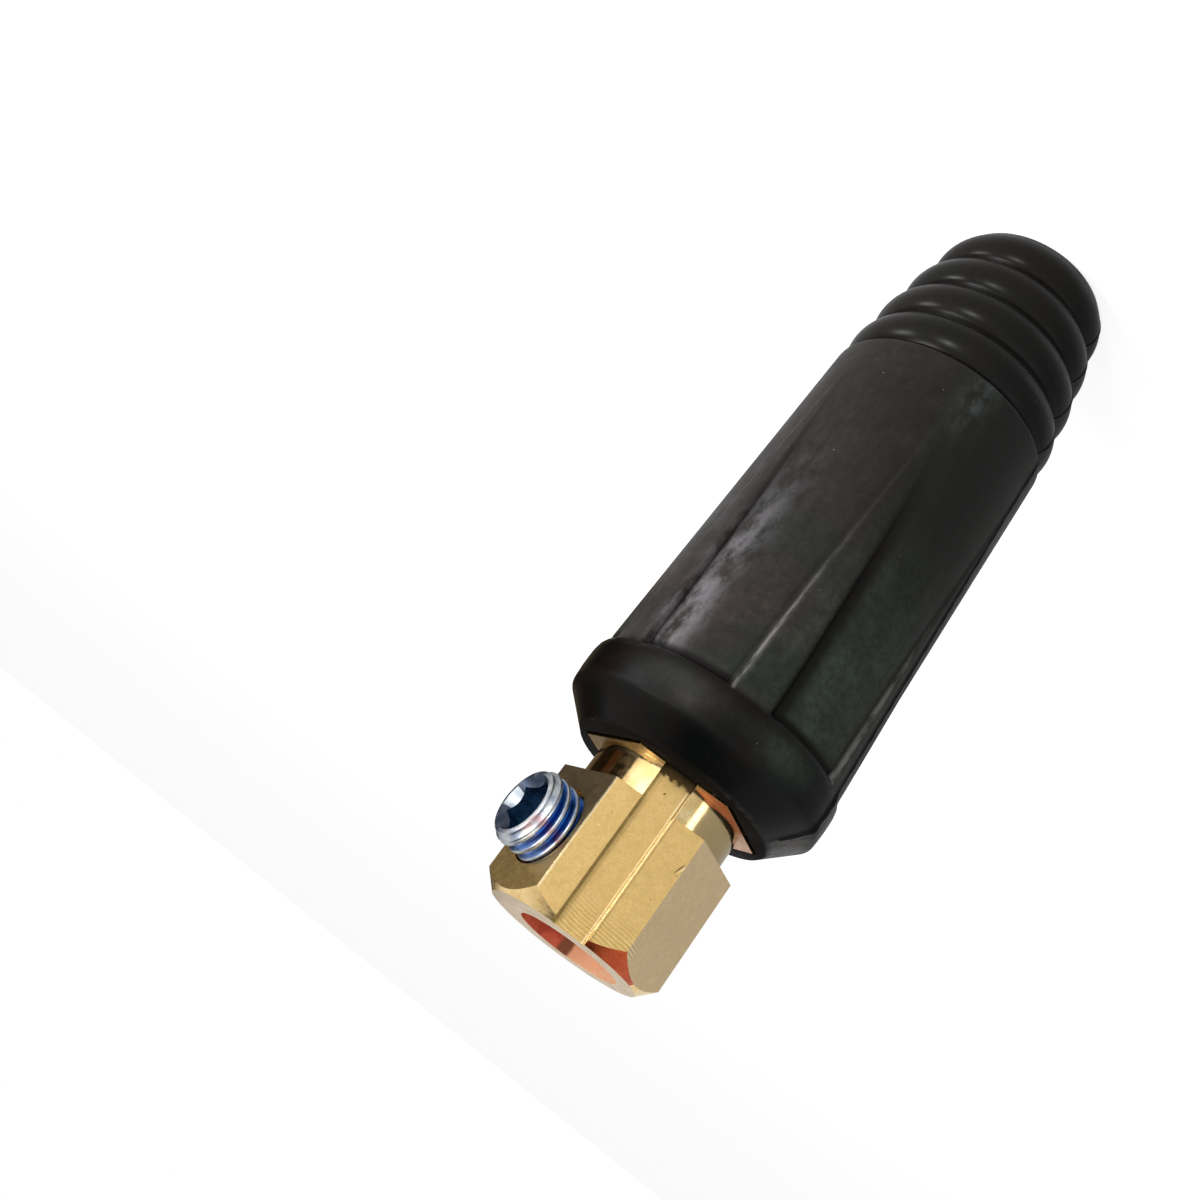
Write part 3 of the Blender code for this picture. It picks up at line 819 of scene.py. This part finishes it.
def sleeve_outside():
    """Radius, angle and height of the sleeve's outer points, one row for each ring."""
    line = rounded(outer_profile(), 0.03, 0.16)
    line[0], line[-1] = outer_profile()[0], outer_profile()[-1]
    stations = thinned(line, SLEEVE_STATIONS, 0.9)
    height = np.clip(stations[:, 1:2], 0, SLEEVE_LENGTH)
    half = land_half_angle(height)
    crest, foot = half - LAND_EDGE_ANGLE / 2, half + LAND_EDGE_ANGLE / 2
    crest = np.maximum(crest, 0.15)
    step = np.arange(-HALF_LINES, HALF_LINES)[None, :]
    count = np.abs(step)
    on_crest = crest * count / CREST_LINES
    on_edge = crest + (foot - crest) * (count - CREST_LINES) / EDGE_LINES
    on_panel = foot + (LAND_SECTOR / 2 - foot) * (count - CREST_LINES - EDGE_LINES) / PANEL_LINES
    offset = np.where(count <= CREST_LINES + EDGE_LINES, on_edge, on_panel)
    offset = np.where(count <= CREST_LINES, on_crest, offset)
    land = 1 - smooth(0, 1, (count - CREST_LINES) / EDGE_LINES)
    radius = stations[:, 0:1] - panel_carve(height) * (1 - land)
    turns = [LAND_TURN + sector * LAND_SECTOR + np.sign(step) * offset for sector in range(LAND_COUNT)]
    angle = np.concatenate(turns, 1)
    radius = np.concatenate([radius] * LAND_COUNT, 1)
    height = np.broadcast_to(height, radius.shape)
    shaded, lit, front = groove_shares(angle, height)
    radius = radius - GROOVE_DEPTH * np.maximum(shaded, 0.5 * lit) - COLLAR_GROOVE_DEPTH * front
    return radius, angle, height


def hexagon_radius(angle, flats):
    return flats / 2 / np.cos(np.radians(within_sector(angle, 60)))


def pocket_radius(angle):
    """The hexagonal pocket with the key that fits the insert's keyway."""
    radius = hexagon_radius(angle, POCKET_FLATS)
    from_key = np.radians(turn_between(angle, KEYWAY_TURN))
    plane = HEX_FLATS / 2 - KEYWAY_DEPTH + RUBBER_GAP
    from_key = np.clip(from_key, -1.2, 1.2)
    across = plane * np.tan(from_key)
    on_key = np.abs(across - KEYWAY_OFFSET) < KEYWAY_WIDTH / 2 - RUBBER_GAP
    return np.where(on_key, np.minimum(radius, plane / np.cos(from_key)), radius)


def sleeve_inside():
    """The channel, flare, hexagonal pocket and snap ring, from the cable end up to the mouth."""
    step = np.arange(-HALF_LINES, HALF_LINES) * LAND_SECTOR / 2 / HALF_LINES
    angle = np.concatenate([sector * LAND_SECTOR + step for sector in range(LAND_COUNT)])
    pocket = pocket_radius(angle)
    ring = np.minimum(np.full_like(angle, RING_RADIUS), pocket)
    plain = np.ones_like(angle)
    rows = [
        (plain * (CHANNEL_RADIUS + REAR_BORE_CHAMFER), 0.0),
        (plain * CHANNEL_RADIUS, REAR_BORE_CHAMFER),
        (plain * CHANNEL_RADIUS, RIBS_TOP),
        (plain * (CHANNEL_RADIUS + CHANNEL_FLARE), POCKET_FLOOR - CHANNEL_FLARE),
        (plain * RING_RADIUS, POCKET_FLOOR),
        (pocket, POCKET_FLOOR + 0.001),
    ]
    rows += [(pocket, h) for h in np.linspace(POCKET_FLOOR + 2, RING_BOTTOM - 0.4, 6)]
    rows += [(pocket, RING_BOTTOM - 0.001), (ring, RING_BOTTOM), (ring, RING_TOP - 0.001), (pocket, RING_TOP)]
    rows += [(pocket, h) for h in (RING_TOP + 1, SLEEVE_LENGTH - 0.25)]
    rows += [(pocket + 0.12, SLEEVE_LENGTH)]
    radius = np.stack([r for r, _ in rows])
    height = np.array([h for _, h in rows])[:, None]
    return radius, np.broadcast_to(angle, radius.shape), np.broadcast_to(height, radius.shape)


# Pale bloom on the rubber, and at -70° a painted highlight on the body just past the ribs: turn and its
# width, height and its reach, and strength
BLOOM_AND_SHEEN_PATCHES = (
    (-20.0, 8.0, 74.0, 6.5, 1.20),
    (-19.0, 8.0, 62.0, 8.0, 0.70),
    (-23.0, 10.0, 53.0, 12.0, 0.18),
    (-70.0, 7.0, 29.0, 4.5, 0.42),
)


def bloom_and_sheen_paint(angle, height):
    bloom_and_sheen = 0.18 * near_turn(angle, 4.0, 8) * smooth(34, 50, height)
    for turn, width, level, reach, strength in BLOOM_AND_SHEEN_PATCHES:
        bloom_and_sheen = bloom_and_sheen + strength * near_turn(angle, turn, width) * hill(height, level, reach)
    return np.clip(bloom_and_sheen, 0, 1)


def sleeve_paint(radius, angle, height):
    """The rubber's bloom with a painted highlight patch, painted highlights, painted greenish reflection, age
    with painted sheen and reflection, painted shade and gloss at each point, from 0 to 1.
    """
    body = smooth(RIBS_TOP - 0.4, RIBS_TOP + 0.6, height)
    behind_collar = height < COLLAR_BACK
    outer = radius > RING_RADIUS + 0.6
    around = within_sector(angle - LAND_TURN, LAND_SECTOR)
    half = land_half_angle(height)
    beyond = turn_between(angle, PARTING_TURNS[0])
    past_line = beyond > -50
    from_screw = -turn_between(angle, 0)
    nose_low = SLEEVE_LENGTH - NOSE_CONE_HEIGHT
    end_ring = smooth(SLEEVE_LENGTH - 0.45, SLEEVE_LENGTH - 0.15, height)

    shaded, lit, front = groove_shares(angle, height)
    # Painted shade: a wide band beside each land's shaded edge, weaker near -18°, and the moulded grooves,
    # which also lose their age and bloom
    wide = 0.70 * hill(around + half, -3.0, 3.2) * smooth(36, 60, height)
    wide = wide * (1 - 0.85 * near_turn(angle, -18.0, 9))
    groove = np.maximum.reduce([shaded, wide, 0.5 * lit, front]) * behind_collar

    # Painted sheen: grey patches across the collar's middle where light falls on it
    collar_sheen = near_turn(angle, -36.0, 20) + 0.75 * near_turn(angle, -88.0, 16)
    collar_sheen = collar_sheen * hill(height, (COLLAR_BACK + nose_low) / 2, 2.0) * (height >= COLLAR_BACK)
    aged_and_painted_light = body * (1 - smooth(COLLAR_BACK - 0.3, COLLAR_BACK + 0.2, height)) + collar_sheen
    aged_and_painted_light = np.maximum(aged_and_painted_light, 0.40 * (1 - body))
    # Painted reflection: paler over 50° on one side of the parting line; the grooves lose their age as
    # painted shade
    aged_and_painted_light = np.maximum(aged_and_painted_light, 0.85 * smooth(0.5, -1.0, beyond) * past_line) * (1 - groove)

    # Painted highlight along each land's lit edge, as lines at the ribs' top and on each bead, and on the
    # mouth's lip
    painted_highlight = hill(around - half, -0.2, 0.8) * smooth(48, 74, height) * behind_collar * (angle > -100)
    painted_highlight = np.maximum(painted_highlight, 0.20 * hill(height, RIBS_TOP + 0.3, 0.3))
    bead = np.clip((RIBS_TOP - height) / RIB_PITCH, 0, RIB_COUNT) % 1
    painted_highlight = np.maximum(painted_highlight, 0.22 * hill(bead, 0.62, 0.06) * smooth(70, 100, from_screw) * (1 - body))
    # Painted reflection: a paler band on the collar just before the parting line
    reflection_under_line = smooth(-0.6, -1.6, beyond) * past_line * smooth(COLLAR_BACK, COLLAR_BACK + 2, height)
    painted_highlight = np.maximum(painted_highlight, 0.50 * reflection_under_line) * (1 - end_ring)
    lip = hill(height, SLEEVE_LENGTH - MOUTH_EDGE - 0.05, 0.12) * outer * smooth(60, 90, from_screw)
    painted_highlight = np.maximum(painted_highlight, 0.14 * lip)

    line_width = 0.9 + 0.9 * smooth(COLLAR_BACK, COLLAR_BACK + 2, height)
    return {
        # Bloom with a painted highlight patch, taken out of the grooves as painted shade
        "bloom_and_sheen": bloom_and_sheen_paint(angle, height) * body * behind_collar * (1 - groove),
        "painted_highlight": np.clip(painted_highlight, 0, 1) * outer,
        # Painted reflection: the greenish side round a turn of -92°
        "painted_green_reflection": near_turn(angle, -92.0, 27 + 14 * smooth(60, 32, height)),
        "aged_and_painted_light": np.clip(aged_and_painted_light, 0, 1) * outer,
        # Painted shade in the grooves, on the dark side of the parting line and round the mouth's rim
        "painted_shade": np.maximum.reduce([groove, 0.9 * hill(beyond, 1.6, line_width) * body, end_ring]),
        "dull": np.maximum(hill(height, nose_low, 0.8), end_ring),
        "polished": (1 - body) * outer,
    }


def make_sleeve(rubber):
    outside, inside = sleeve_outside(), sleeve_inside()
    radius, angle, height = (np.concatenate(pair) for pair in zip(outside, inside))
    points = around_axis(radius, np.radians(angle), height)
    faces = ring_faces(len(radius), SLEEVE_LINES, closed=True)
    sleeve = mesh_object("rubber_moulding", points * MM, faces[:, ::-1], [rubber])
    for name, values in sleeve_paint(radius, angle, height).items():
        paint(sleeve, name, values)
    sharpen(sleeve, 50)
    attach(sleeve, "sleeve")
    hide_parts("rubber_sleeve")


# The flash's section: offset along the surface and rise over it
FLASH_OFFSETS = np.array([-0.45, -0.30, -0.16, -0.04, 0.12, 0.36])
FLASH_RISES = np.array([-0.04, 0.04, 0.12, 0.10, 0.03, -0.04])


def make_flash(rubber):
    """The thin ridge where the two halves of the rubber mould meet, along both sides of the sleeve, with
    painted shade on one side of its top and a painted highlight on the other.
    """
    radius, angle, height = sleeve_outside()
    rows = range(4, len(radius) - 3)
    vertices, faces, dark = [], [], []
    for turn in PARTING_TURNS:
        first = len(vertices)
        for row in rows:
            level = height[row, 0]
            order = np.argsort(angle[row] % 360)
            middle = np.interp(turn % 360, angle[row][order] % 360, radius[row][order])
            ragged = 1 + 0.35 * math.sin(level * 2.1) * math.sin(level * 0.73 + 1)
            spread = 1 + 1.2 * float(smooth(COLLAR_BACK - 1, COLLAR_BACK + 1.5, level))
            for offset, rise in zip(FLASH_OFFSETS * spread, FLASH_RISES * spread):
                around = math.radians(turn) + offset / middle
                reach = middle + rise * ragged
                vertices.append((reach * math.cos(around), reach * math.sin(around), level))
                # From near its top towards larger turns the ridge gets painted shade, and before that a
                # painted highlight
                dark.append(1.0 if offset > -0.10 else 0.0)
        quads = ring_faces(len(rows), len(FLASH_OFFSETS), closed=False)
        quads = quads.reshape(len(rows) - 1, len(FLASH_OFFSETS), 4)
        faces.append(quads[:, :-1].reshape(-1, 4) + first)
    flash = mesh_object("mould_flash", np.array(vertices) * MM, np.concatenate(faces), [rubber])
    dark = np.array(dark)
    for name in ("bloom_and_sheen", "painted_green_reflection", "dull", "polished"):
        paint(flash, name, dark * 0)
    paint(flash, "painted_highlight", (1 - dark) * 0.4)
    paint(flash, "aged_and_painted_light", 1 - dark)
    paint(flash, "painted_shade", dark)
    flash.data.shade_smooth()
    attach(flash, "sleeve")


# Brass insert, with its finishes in the order of its material slots
DRAWN, PALER_FLAT, TURNED, FACED, CHAMFER, CHAMFER_RED_REFLECTION, BORE, NECK, FLANGE = range(9)
PLANAR_FINISHES = (DRAWN, PALER_FLAT, FACED, FLANGE)
TURNED_STEPS = 144
OVERRUN = 1.0


def turned(name, outline):
    """A solid turned about Z from an outline of (radius, height) points."""
    turn = (np.arange(TURNED_STEPS) + 0.5) * math.tau / TURNED_STEPS
    radius, height = np.array(outline).T[:, :, None]
    return ring_solid(name, radius, turn, height)


def hexagon_bar(name, flats, bottom, top):
    bm = bmesh.new()
    corner = flats / math.sqrt(3)
    bmesh.ops.create_cone(bm, cap_ends=True, segments=6, radius1=corner, radius2=corner, depth=top - bottom,
                          matrix=Matrix.Translation((0, 0, (bottom + top) / 2)))
    return from_bmesh(name, bm)


def side_block(name, turn, inner, outer, width, offset, bottom, top):
    bm = bmesh.new()
    bmesh.ops.create_cube(bm, size=1.0)
    bmesh.ops.scale(bm, vec=(outer - inner, width, top - bottom), verts=bm.verts)
    bmesh.ops.translate(bm, vec=((inner + outer) / 2, offset, (bottom + top) / 2), verts=bm.verts)
    around = Matrix.Rotation(math.radians(turn), 3, "Z")
    bmesh.ops.rotate(bm, cent=(0, 0, 0), matrix=around, verts=bm.verts)
    return from_bmesh(name, bm)


def from_bmesh(name, bm):
    mesh = bpy.data.meshes.new(name)
    bmesh.ops.scale(bm, vec=(MM, MM, MM), verts=bm.verts)
    bm.to_mesh(mesh)
    bm.free()
    return new_object(name, mesh)


def combine(obj, other, operation):
    """Joins, cuts or intersects obj with other at once, and removes other."""
    step = obj.modifiers.new("combine", "BOOLEAN")
    step.operation = operation
    step.solver = "EXACT"
    step.object = other
    apply_modifiers(obj)
    bpy.data.objects.remove(other, do_unlink=True)


def apply_modifiers(obj):
    bpy.context.view_layer.update()
    made = bpy.data.meshes.new_from_object(obj.evaluated_get(bpy.context.evaluated_depsgraph_get()))
    obj.modifiers.clear()
    obj.data = made


def insert_outline():
    beyond = HEX_CORNER + OVERRUN
    slope = END_CHAMFER_HEIGHT / END_CHAMFER_DEPTH
    return [
        (HEX_CORNER - END_CHAMFER_DEPTH, INSERT_TOP),
        (beyond, INSERT_TOP - slope * (END_CHAMFER_DEPTH + OVERRUN)),
        (beyond, NECK_TOP),
        (NECK_RADIUS, NECK_TOP),
        (NECK_RADIUS, FLANGE_TOP),
        (beyond, FLANGE_TOP),
        (beyond, FLANGE_BOTTOM),
        (PIN_RADIUS, FLANGE_BOTTOM),
        (PIN_RADIUS, PIN_TIP + PIN_TIP_CHAMFER),
        (PIN_RADIUS - PIN_TIP_CHAMFER, PIN_TIP),
    ]


def insert_face_kind(center, normal):
    """Which finish a face of the insert takes."""
    radius = math.hypot(center.x, center.y)
    height = center.z
    turn = math.degrees(math.atan2(center.y, center.x))
    from_bore = math.hypot(center.x - BORE_OFFSET, center.y)
    from_keyway = abs(turn_between(turn, KEYWAY_TURN))
    upright = abs(normal.z) < 0.1
    if normal.z > 0.95 and height > INSERT_TOP - 0.2:
        return FACED
    if from_bore < BORE_RADIUS + 0.05 and height > INSERT_TOP - BORE_DEPTH - DRILL_POINT_HEIGHT - 0.1:
        return BORE
    if upright and from_keyway < 6 and radius < HEX_FLATS / 2 - KEYWAY_DEPTH + 0.3 and height > FLANGE_BOTTOM:
        return DRAWN
    if upright and radius < NECK_RADIUS + 0.1 and FLANGE_TOP < height < NECK_TOP:
        return NECK
    if normal.z > 0.9 and abs(height - FLANGE_TOP) < 0.1:
        return FLANGE
    if 0.2 < normal.z < 0.95 and height > INSERT_TOP - END_CHAMFER_HEIGHT - 0.6:
        # Painted reflection: the chamfer within 29° of -90° takes the copper-red copy
        return CHAMFER_RED_REFLECTION if abs(turn_between(turn, -90.0)) < 29 else CHAMFER
    if upright and radius > NECK_RADIUS + 0.1 and height > NECK_TOP:
        # The flat round -120°, away from the keyway, takes a paler, greyer copy of the drawn finish
        return PALER_FLAT if abs(turn_between(turn, -120.0)) < 31 and from_keyway > 29 else DRAWN
    return TURNED


def make_insert(finishes):
    insert = hexagon_bar("insert_machined", HEX_FLATS, PIN_TIP - OVERRUN, INSERT_TOP + OVERRUN)
    combine(insert, turned("envelope", insert_outline()), "INTERSECT")
    lug_top = FLANGE_BOTTOM - LUG_FROM_FLANGE
    combine(insert, side_block("lug", LUG_TURN, PIN_RADIUS / 2, PIN_RADIUS + LUG_HEIGHT, LUG_WIDTH, 0.0,
                               lug_top - LUG_LENGTH, lug_top), "UNION")
    bore = turned("bore", [(BORE_RADIUS, INSERT_TOP + OVERRUN), (BORE_RADIUS, INSERT_TOP - BORE_DEPTH),
                           (0.01, INSERT_TOP - BORE_DEPTH - DRILL_POINT_HEIGHT)])
    bore.data.transform(Matrix.Translation((BORE_OFFSET * MM, 0, 0)))
    combine(insert, bore, "DIFFERENCE")
    combine(insert, side_block("keyway", KEYWAY_TURN, HEX_FLATS / 2 - KEYWAY_DEPTH, HEX_CORNER + OVERRUN,
                               KEYWAY_WIDTH, KEYWAY_OFFSET, FLANGE_BOTTOM - OVERRUN, INSERT_TOP + OVERRUN),
            "DIFFERENCE")
    hole_radius = SCREW_RADIUS + SCREW_GAP
    hole = turned("screw_hole", [(hole_radius, HEX_CORNER + OVERRUN), (hole_radius, SCREW_DRILL_POINT),
                                 (0.01, 0.0)])
    to_side = Matrix.Translation((0, 0, SCREW_HEIGHT * MM)) @ Matrix.Rotation(math.pi / 2, 4, "Y")
    hole.data.transform(to_side)
    combine(insert, hole, "DIFFERENCE")
    for finish in finishes:
        insert.data.materials.append(finish)
    bevel = insert.modifiers.new("worn_edges", "BEVEL")
    bevel.width = EDGE_WEAR * MM
    bevel.segments = 2
    bevel.limit_method = "ANGLE"
    bevel.angle_limit = math.radians(WEAR_FROM_ANGLE)
    bevel.use_clamp_overlap = True
    apply_modifiers(insert)
    insert.data.shade_smooth()
    for face in insert.data.polygons:
        face.material_index = insert_face_kind(face.center / MM, face.normal)
        face.use_smooth = face.material_index not in PLANAR_FINISHES
    insert.data.set_sharp_from_angle(angle=math.radians(8))
    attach(insert, "insert")
    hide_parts("brass_insert")


def make_keyway_burrs(material):
    """Ragged bright lips that the cutter left along one side of the keyway, at its edge and at its floor."""
    rng = np.random.default_rng(4)
    curve = bpy.data.curves.new("keyway_burrs", "CURVE")
    curve.dimensions = "3D"
    curve.bevel_depth = BURR_RADIUS * MM
    curve.bevel_resolution = 2
    floor = HEX_FLATS / 2 - KEYWAY_DEPTH
    for edge, level in ((KEYWAY_RIGHT, HEX_FLATS / 2), (KEYWAY_RIGHT + 0.12, floor)):
        heights = np.linspace(NECK_TOP + 0.1, INSERT_TOP - (1.9 if level > floor else 0.1), 70)
        spline = curve.splines.new("POLY")
        spline.points.add(len(heights) - 1)
        sway = np.cumsum(rng.normal(0, 0.004, len(heights)))
        sway -= np.linspace(sway[0], sway[-1], len(heights))
        for i, height in enumerate(heights):
            place = KEYWAY_OUT * (level - 0.02) + KEYWAY_SIDE * (edge + float(sway[i]))
            place.z = height
            spline.points[i].co = (*(place * MM), 1.0)
            spline.points[i].radius = 0.85 + 0.15 * math.sin(height * 2.3) * math.sin(height * 0.9)
    burrs = new_object("keyway_burrs", curve)
    curve.materials.append(material)
    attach(burrs, "insert")


# Clamp screw, with its finishes in the order of its material slots
PLATED, SOCKET, SHADED, END_RING = range(4)
SCREW_LINES = 128
SCREW_RINGS = 190


def thread_rise(turns):
    """Height of the thread's section, 0 in the groove and 1 on the crest, along one pitch."""
    share = turns % 1.0
    flank = np.abs(share - 0.5) * 2
    return 1 - smooth(0.12, 0.86, flank)


def whole_rings(points):
    """Radius and height of a ring of points for each (radius, height)."""
    return (np.repeat(np.array(values)[:, None], SCREW_LINES, 1) for values in zip(*points))


def screw_rows():
    """Radius, height and depth of groove of the screw's rings, from the outer end's middle to the cup's."""
    turn = np.arange(SCREW_LINES) / SCREW_LINES
    depth = np.linspace(0, SCREW_LENGTH, SCREW_RINGS)[:, None]
    rise = thread_rise(depth / THREAD_PITCH + turn)
    end_radius = SCREW_RADIUS - SCREW_END_CHAMFER
    outer_limit = SCREW_RADIUS - SCREW_END_CHAMFER * (1 - depth / SCREW_END_CHAMFER_HEIGHT)
    point_limit = SCREW_RADIUS - SCREW_POINT_CHAMFER + (SCREW_LENGTH - depth)
    limit = np.minimum(np.minimum(outer_limit, point_limit), SCREW_RADIUS)
    from_end = smooth(0, SCREW_END_CHAMFER_HEIGHT * 1.3, depth)
    cut = THREAD_DEPTH * (1 - rise) * smooth(THREAD_START, THREAD_START + THREAD_RUN_OUT, depth)
    start_line = START_LINE_DEPTH * hill(depth, THREAD_START + 0.15, 0.10)
    radius = np.minimum(SCREW_RADIUS - cut, limit) - start_line
    radius = end_radius * (1 - from_end) + radius * from_end
    valley = np.clip(cut / THREAD_DEPTH, 0, 1) * from_end
    height = np.broadcast_to(-depth - 0.15 * (1 - smooth(0, 0.6, depth)), radius.shape)
    rim_radius, rim_height = whole_rings([(0.02, 0.0), (end_radius - 0.3, 0.0), (end_radius - 0.1, -0.04)])
    cup_top = (SOCKET_FLATS / math.sqrt(3), -SCREW_LENGTH)
    cup_radius, cup_height = whole_rings([cup_top, (0.02, SCREW_CUP_DEPTH - SCREW_LENGTH)])
    columns = (
        (rim_radius, radius, cup_radius),
        (rim_height, height, cup_height),
        (rim_radius * 0, valley, cup_radius * 0),
    )
    return [np.concatenate(parts) for parts in columns]


def screw_face_kind(center, normal):
    """Which finish a face of the screw takes, before the screw is laid on its side."""
    from_shine = turn_between(math.degrees(math.atan2(center.y, center.x)), SOCKET_SHINE_TURN)
    inner = math.hypot(center.x, center.y) < COUNTERSINK_RADIUS + 0.05
    if inner and -SOCKET_DEPTH - 0.1 < center.z < -0.02:
        if not 0.1 < abs(normal.z) < 0.9:
            return SOCKET
        # Countersink faces within 20° of the shine turn take the silver plate as a painted highlight, the
        # others the darker copy as painted shade
        return PLATED if abs(from_shine) <= 20 else SHADED
    return END_RING if center.z > -0.02 and normal.z > 0.9 else PLATED


def make_screw(finishes):
    """The set screw along its own axis, with a real right-hand thread, then laid along +X."""
    radius, height, valley = screw_rows()
    turn = np.arange(SCREW_LINES) * math.tau / SCREW_LINES
    screw = ring_solid("set_screw", radius, turn, height, finishes)
    paint(screw, "valley", valley)
    cutter = hexagon_bar("socket_cutter", SOCKET_FLATS, -SOCKET_DEPTH, OVERRUN)
    cutter.data.transform(Matrix.Rotation(math.radians(SOCKET_TURN), 4, "Z"))
    combine(screw, cutter, "DIFFERENCE")
    countersink = [(0.01, -COUNTERSINK_DEPTH - 3.0), (SOCKET_FLATS / 2 - 0.05, -COUNTERSINK_DEPTH),
                   (COUNTERSINK_RADIUS, 0.0), (COUNTERSINK_RADIUS + 0.25, 0.4)]
    combine(screw, turned("socket_countersink", countersink), "DIFFERENCE")
    for face in screw.data.polygons:
        face.material_index = screw_face_kind(face.center / MM, face.normal)
    to_place = Matrix.Translation((SCREW_OUTER_END * MM, 0, SCREW_HEIGHT * MM))
    screw.data.transform(to_place @ Matrix.Rotation(math.pi / 2, 4, "Y"))
    sharpen(screw, 32)
    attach(screw, "screw")
    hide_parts("clamp_screw")


# Studio
WORLD_DIFFUSE = 0.25
FLOOR_SEEN_LIFT = 0.76
FLOOR_MIRRORED_LIFT = 0.20
FLOOR_HALF_SIZE = 2500
OVERHEAD_HALF_SIZE = 230
OVERHEAD_HEIGHT = 620
CARD_RADIUS = 95
CARD_STEPS = 12

# Lamps: azimuth, elevation, distance, width and height in metres, and level
LAMPS = {
    "key": (-4, 35, 0.55, 0.18, 0.18, 0.65),
    "side_at_screw": (16, 1, 0.55, 0.13, 0.06, 0.38),
    "side_at_camera": (-28, 1, 0.55, 0.10, 0.06, 0.38),
    "fill": (-100, 40, 0.70, 0.60, 0.60, 0.14),
}

# Standing cards: first and last turn, lower and upper edge, tone and glow
SIDE_CARDS = {
    "card_brown": (74, 106, 34, 92, (0.22, 0.165, 0.105), 0.0),
    "card_behind": (40, 112, 92, 140, (0.03, 0.024, 0.018), 0.0),
    "card_bright": (-112, -102, 56, 78, (1.0, 1.0, 1.0), 2.4),
    "card_dark": (45, 74, 34, 92, (0.045, 0.032, 0.022), 0.0),
    "card_red": (29, 45, 34, 92, (0.20, 0.095, 0.045), 0.0),
    "card_near": (4, 29, 34, 92, (0.040, 0.028, 0.019), 0.0),
}


def make_world():
    """A white world for the camera and for reflections, and a dim one for diffuse light."""
    n = Nodes("white_studio", "worlds")
    bpy.context.scene.world = n.owner
    background = n.tree.nodes["Background"]
    lift = light_path_share(n, 1 - WORLD_DIFFUSE, 1 - WORLD_DIFFUSE)
    n.link(n.plus(lift, WORLD_DIFFUSE), background.inputs["Strength"])
    n.link((1.0, 1.0, 1.0), background.inputs["Color"])


def make_lamp(name, azimuth, elevation, distance, width, height, level):
    """A soft lamp aimed at the plug's middle that gives a white surface facing it this level of light."""
    target = Vector((0, 0, (CAD_LOW.z + CAD_HIGH.z) / 2))
    a, e = math.radians(azimuth), math.radians(elevation)
    direction = Vector((math.cos(a) * math.cos(e), math.sin(a) * math.cos(e), math.sin(e)))
    lamp = bpy.data.lights.new(name, "AREA")
    lamp.shape = "RECTANGLE"
    lamp.size = width
    lamp.size_y = height
    lamp.energy = level * math.pi ** 2 * distance ** 2
    obj = new_object(name, lamp)
    obj.location = target + direction * distance
    obj.rotation_euler = (-direction).to_track_quat("-Z", "Y").to_euler()


def flat_square(name, half_size, height):
    bm = bmesh.new()
    bmesh.ops.create_grid(bm, x_segments=1, y_segments=1, size=half_size)
    square = from_bmesh(name, bm)
    square.location.z = height * MM
    return square


def make_floor():
    floor = flat_square("floor", FLOOR_HALF_SIZE, CAD_LOW.z / MM - 0.02)
    floor.data.materials.append(floor_material())


def reflection_card(card, color, glow=0.0):
    """Leaves a stage card to glossy rays alone, so that only reflections show it."""
    n = Nodes(card.name)
    card.data.materials.append(n.finish(color, 1.0, Specular_IOR_Level=0.0, Emission_Strength=glow))
    card.visible_camera = False
    card.visible_diffuse = False
    card.visible_transmission = False
    card.visible_shadow = False


def make_overhead_card():
    card = flat_square("card_overhead", OVERHEAD_HALF_SIZE, OVERHEAD_HEIGHT)
    reflection_card(card, (0.01, 0.01, 0.01))


def make_side_card(name, first_turn, last_turn, low, high, color, glow):
    """A curved standing card that only reflections show, dark or, with a glow, bright."""
    turns = np.radians(np.linspace(first_turn, last_turn, CARD_STEPS + 1))
    points = around_axis(CARD_RADIUS, turns, np.array([[low], [high]]))
    above = CARD_STEPS + 1
    faces = [(i, i + 1, i + 1 + above, i + above) for i in range(CARD_STEPS)]
    reflection_card(mesh_object(name, points * MM, faces), color, glow)


def make_camera():
    camera = new_object("photo_camera", bpy.data.cameras.new("photo_camera"))
    place, aim = Vector(CAMERA_PLACE) * MM, Vector(CAMERA_AIM) * MM
    level = (aim - place).to_track_quat("-Z", "Y").to_matrix()
    camera.rotation_euler = (level @ Matrix.Rotation(math.radians(CAMERA_ROLL), 3, "Z")).to_euler()
    camera.location = place
    camera.data.lens = CAMERA_LENS
    camera.data.sensor_width = 36.0
    camera.data.clip_start = 0.005
    camera.data.clip_end = 20.0
    bpy.context.scene.camera = camera


def make_stage():
    bpy.context.scene.view_settings.view_transform = "Standard"
    make_camera()
    make_world()
    make_floor()
    make_overhead_card()
    for name, settings in SIDE_CARDS.items():
        make_side_card(name, *settings)
    for name, settings in LAMPS.items():
        make_lamp(name, *settings)


def make_plug():
    rubber = rubber_material()
    make_sleeve(rubber)
    make_flash(rubber)
    make_insert([
        brass_drawn_material(
            "brass_drawn", (0.74, 0.51, 0.20), (0.68, 0.46, 0.17), (0.58, 0.42, 0.19), 0.16),
        brass_drawn_material(
            "brass_paler_flat", (0.87, 0.66, 0.38), (0.80, 0.60, 0.33), (0.66, 0.51, 0.31), 0.30),
        brass_turned_material(),
        brass_face_material(),
        brass_chamfer_material("brass_chamfer", (0.86, 0.64, 0.32), (0.74, 0.52, 0.22)),
        brass_chamfer_material("brass_chamfer_red_reflection", (0.52, 0.10, 0.035), (0.40, 0.07, 0.025)),
        bore_material(),
        brass_neck_material(),
        brass_flange_material(),
    ])
    make_keyway_burrs(burr_material())
    make_screw([
        zinc_material(),
        socket_material("zinc_socket", (0.085, 0.18, 0.28), (0.12, 0.24, 0.36)),
        socket_material("zinc_shaded", (0.030, 0.045, 0.075), (0.065, 0.080, 0.11)),
        ring_material(),
    ])


make_stage()
make_plug()
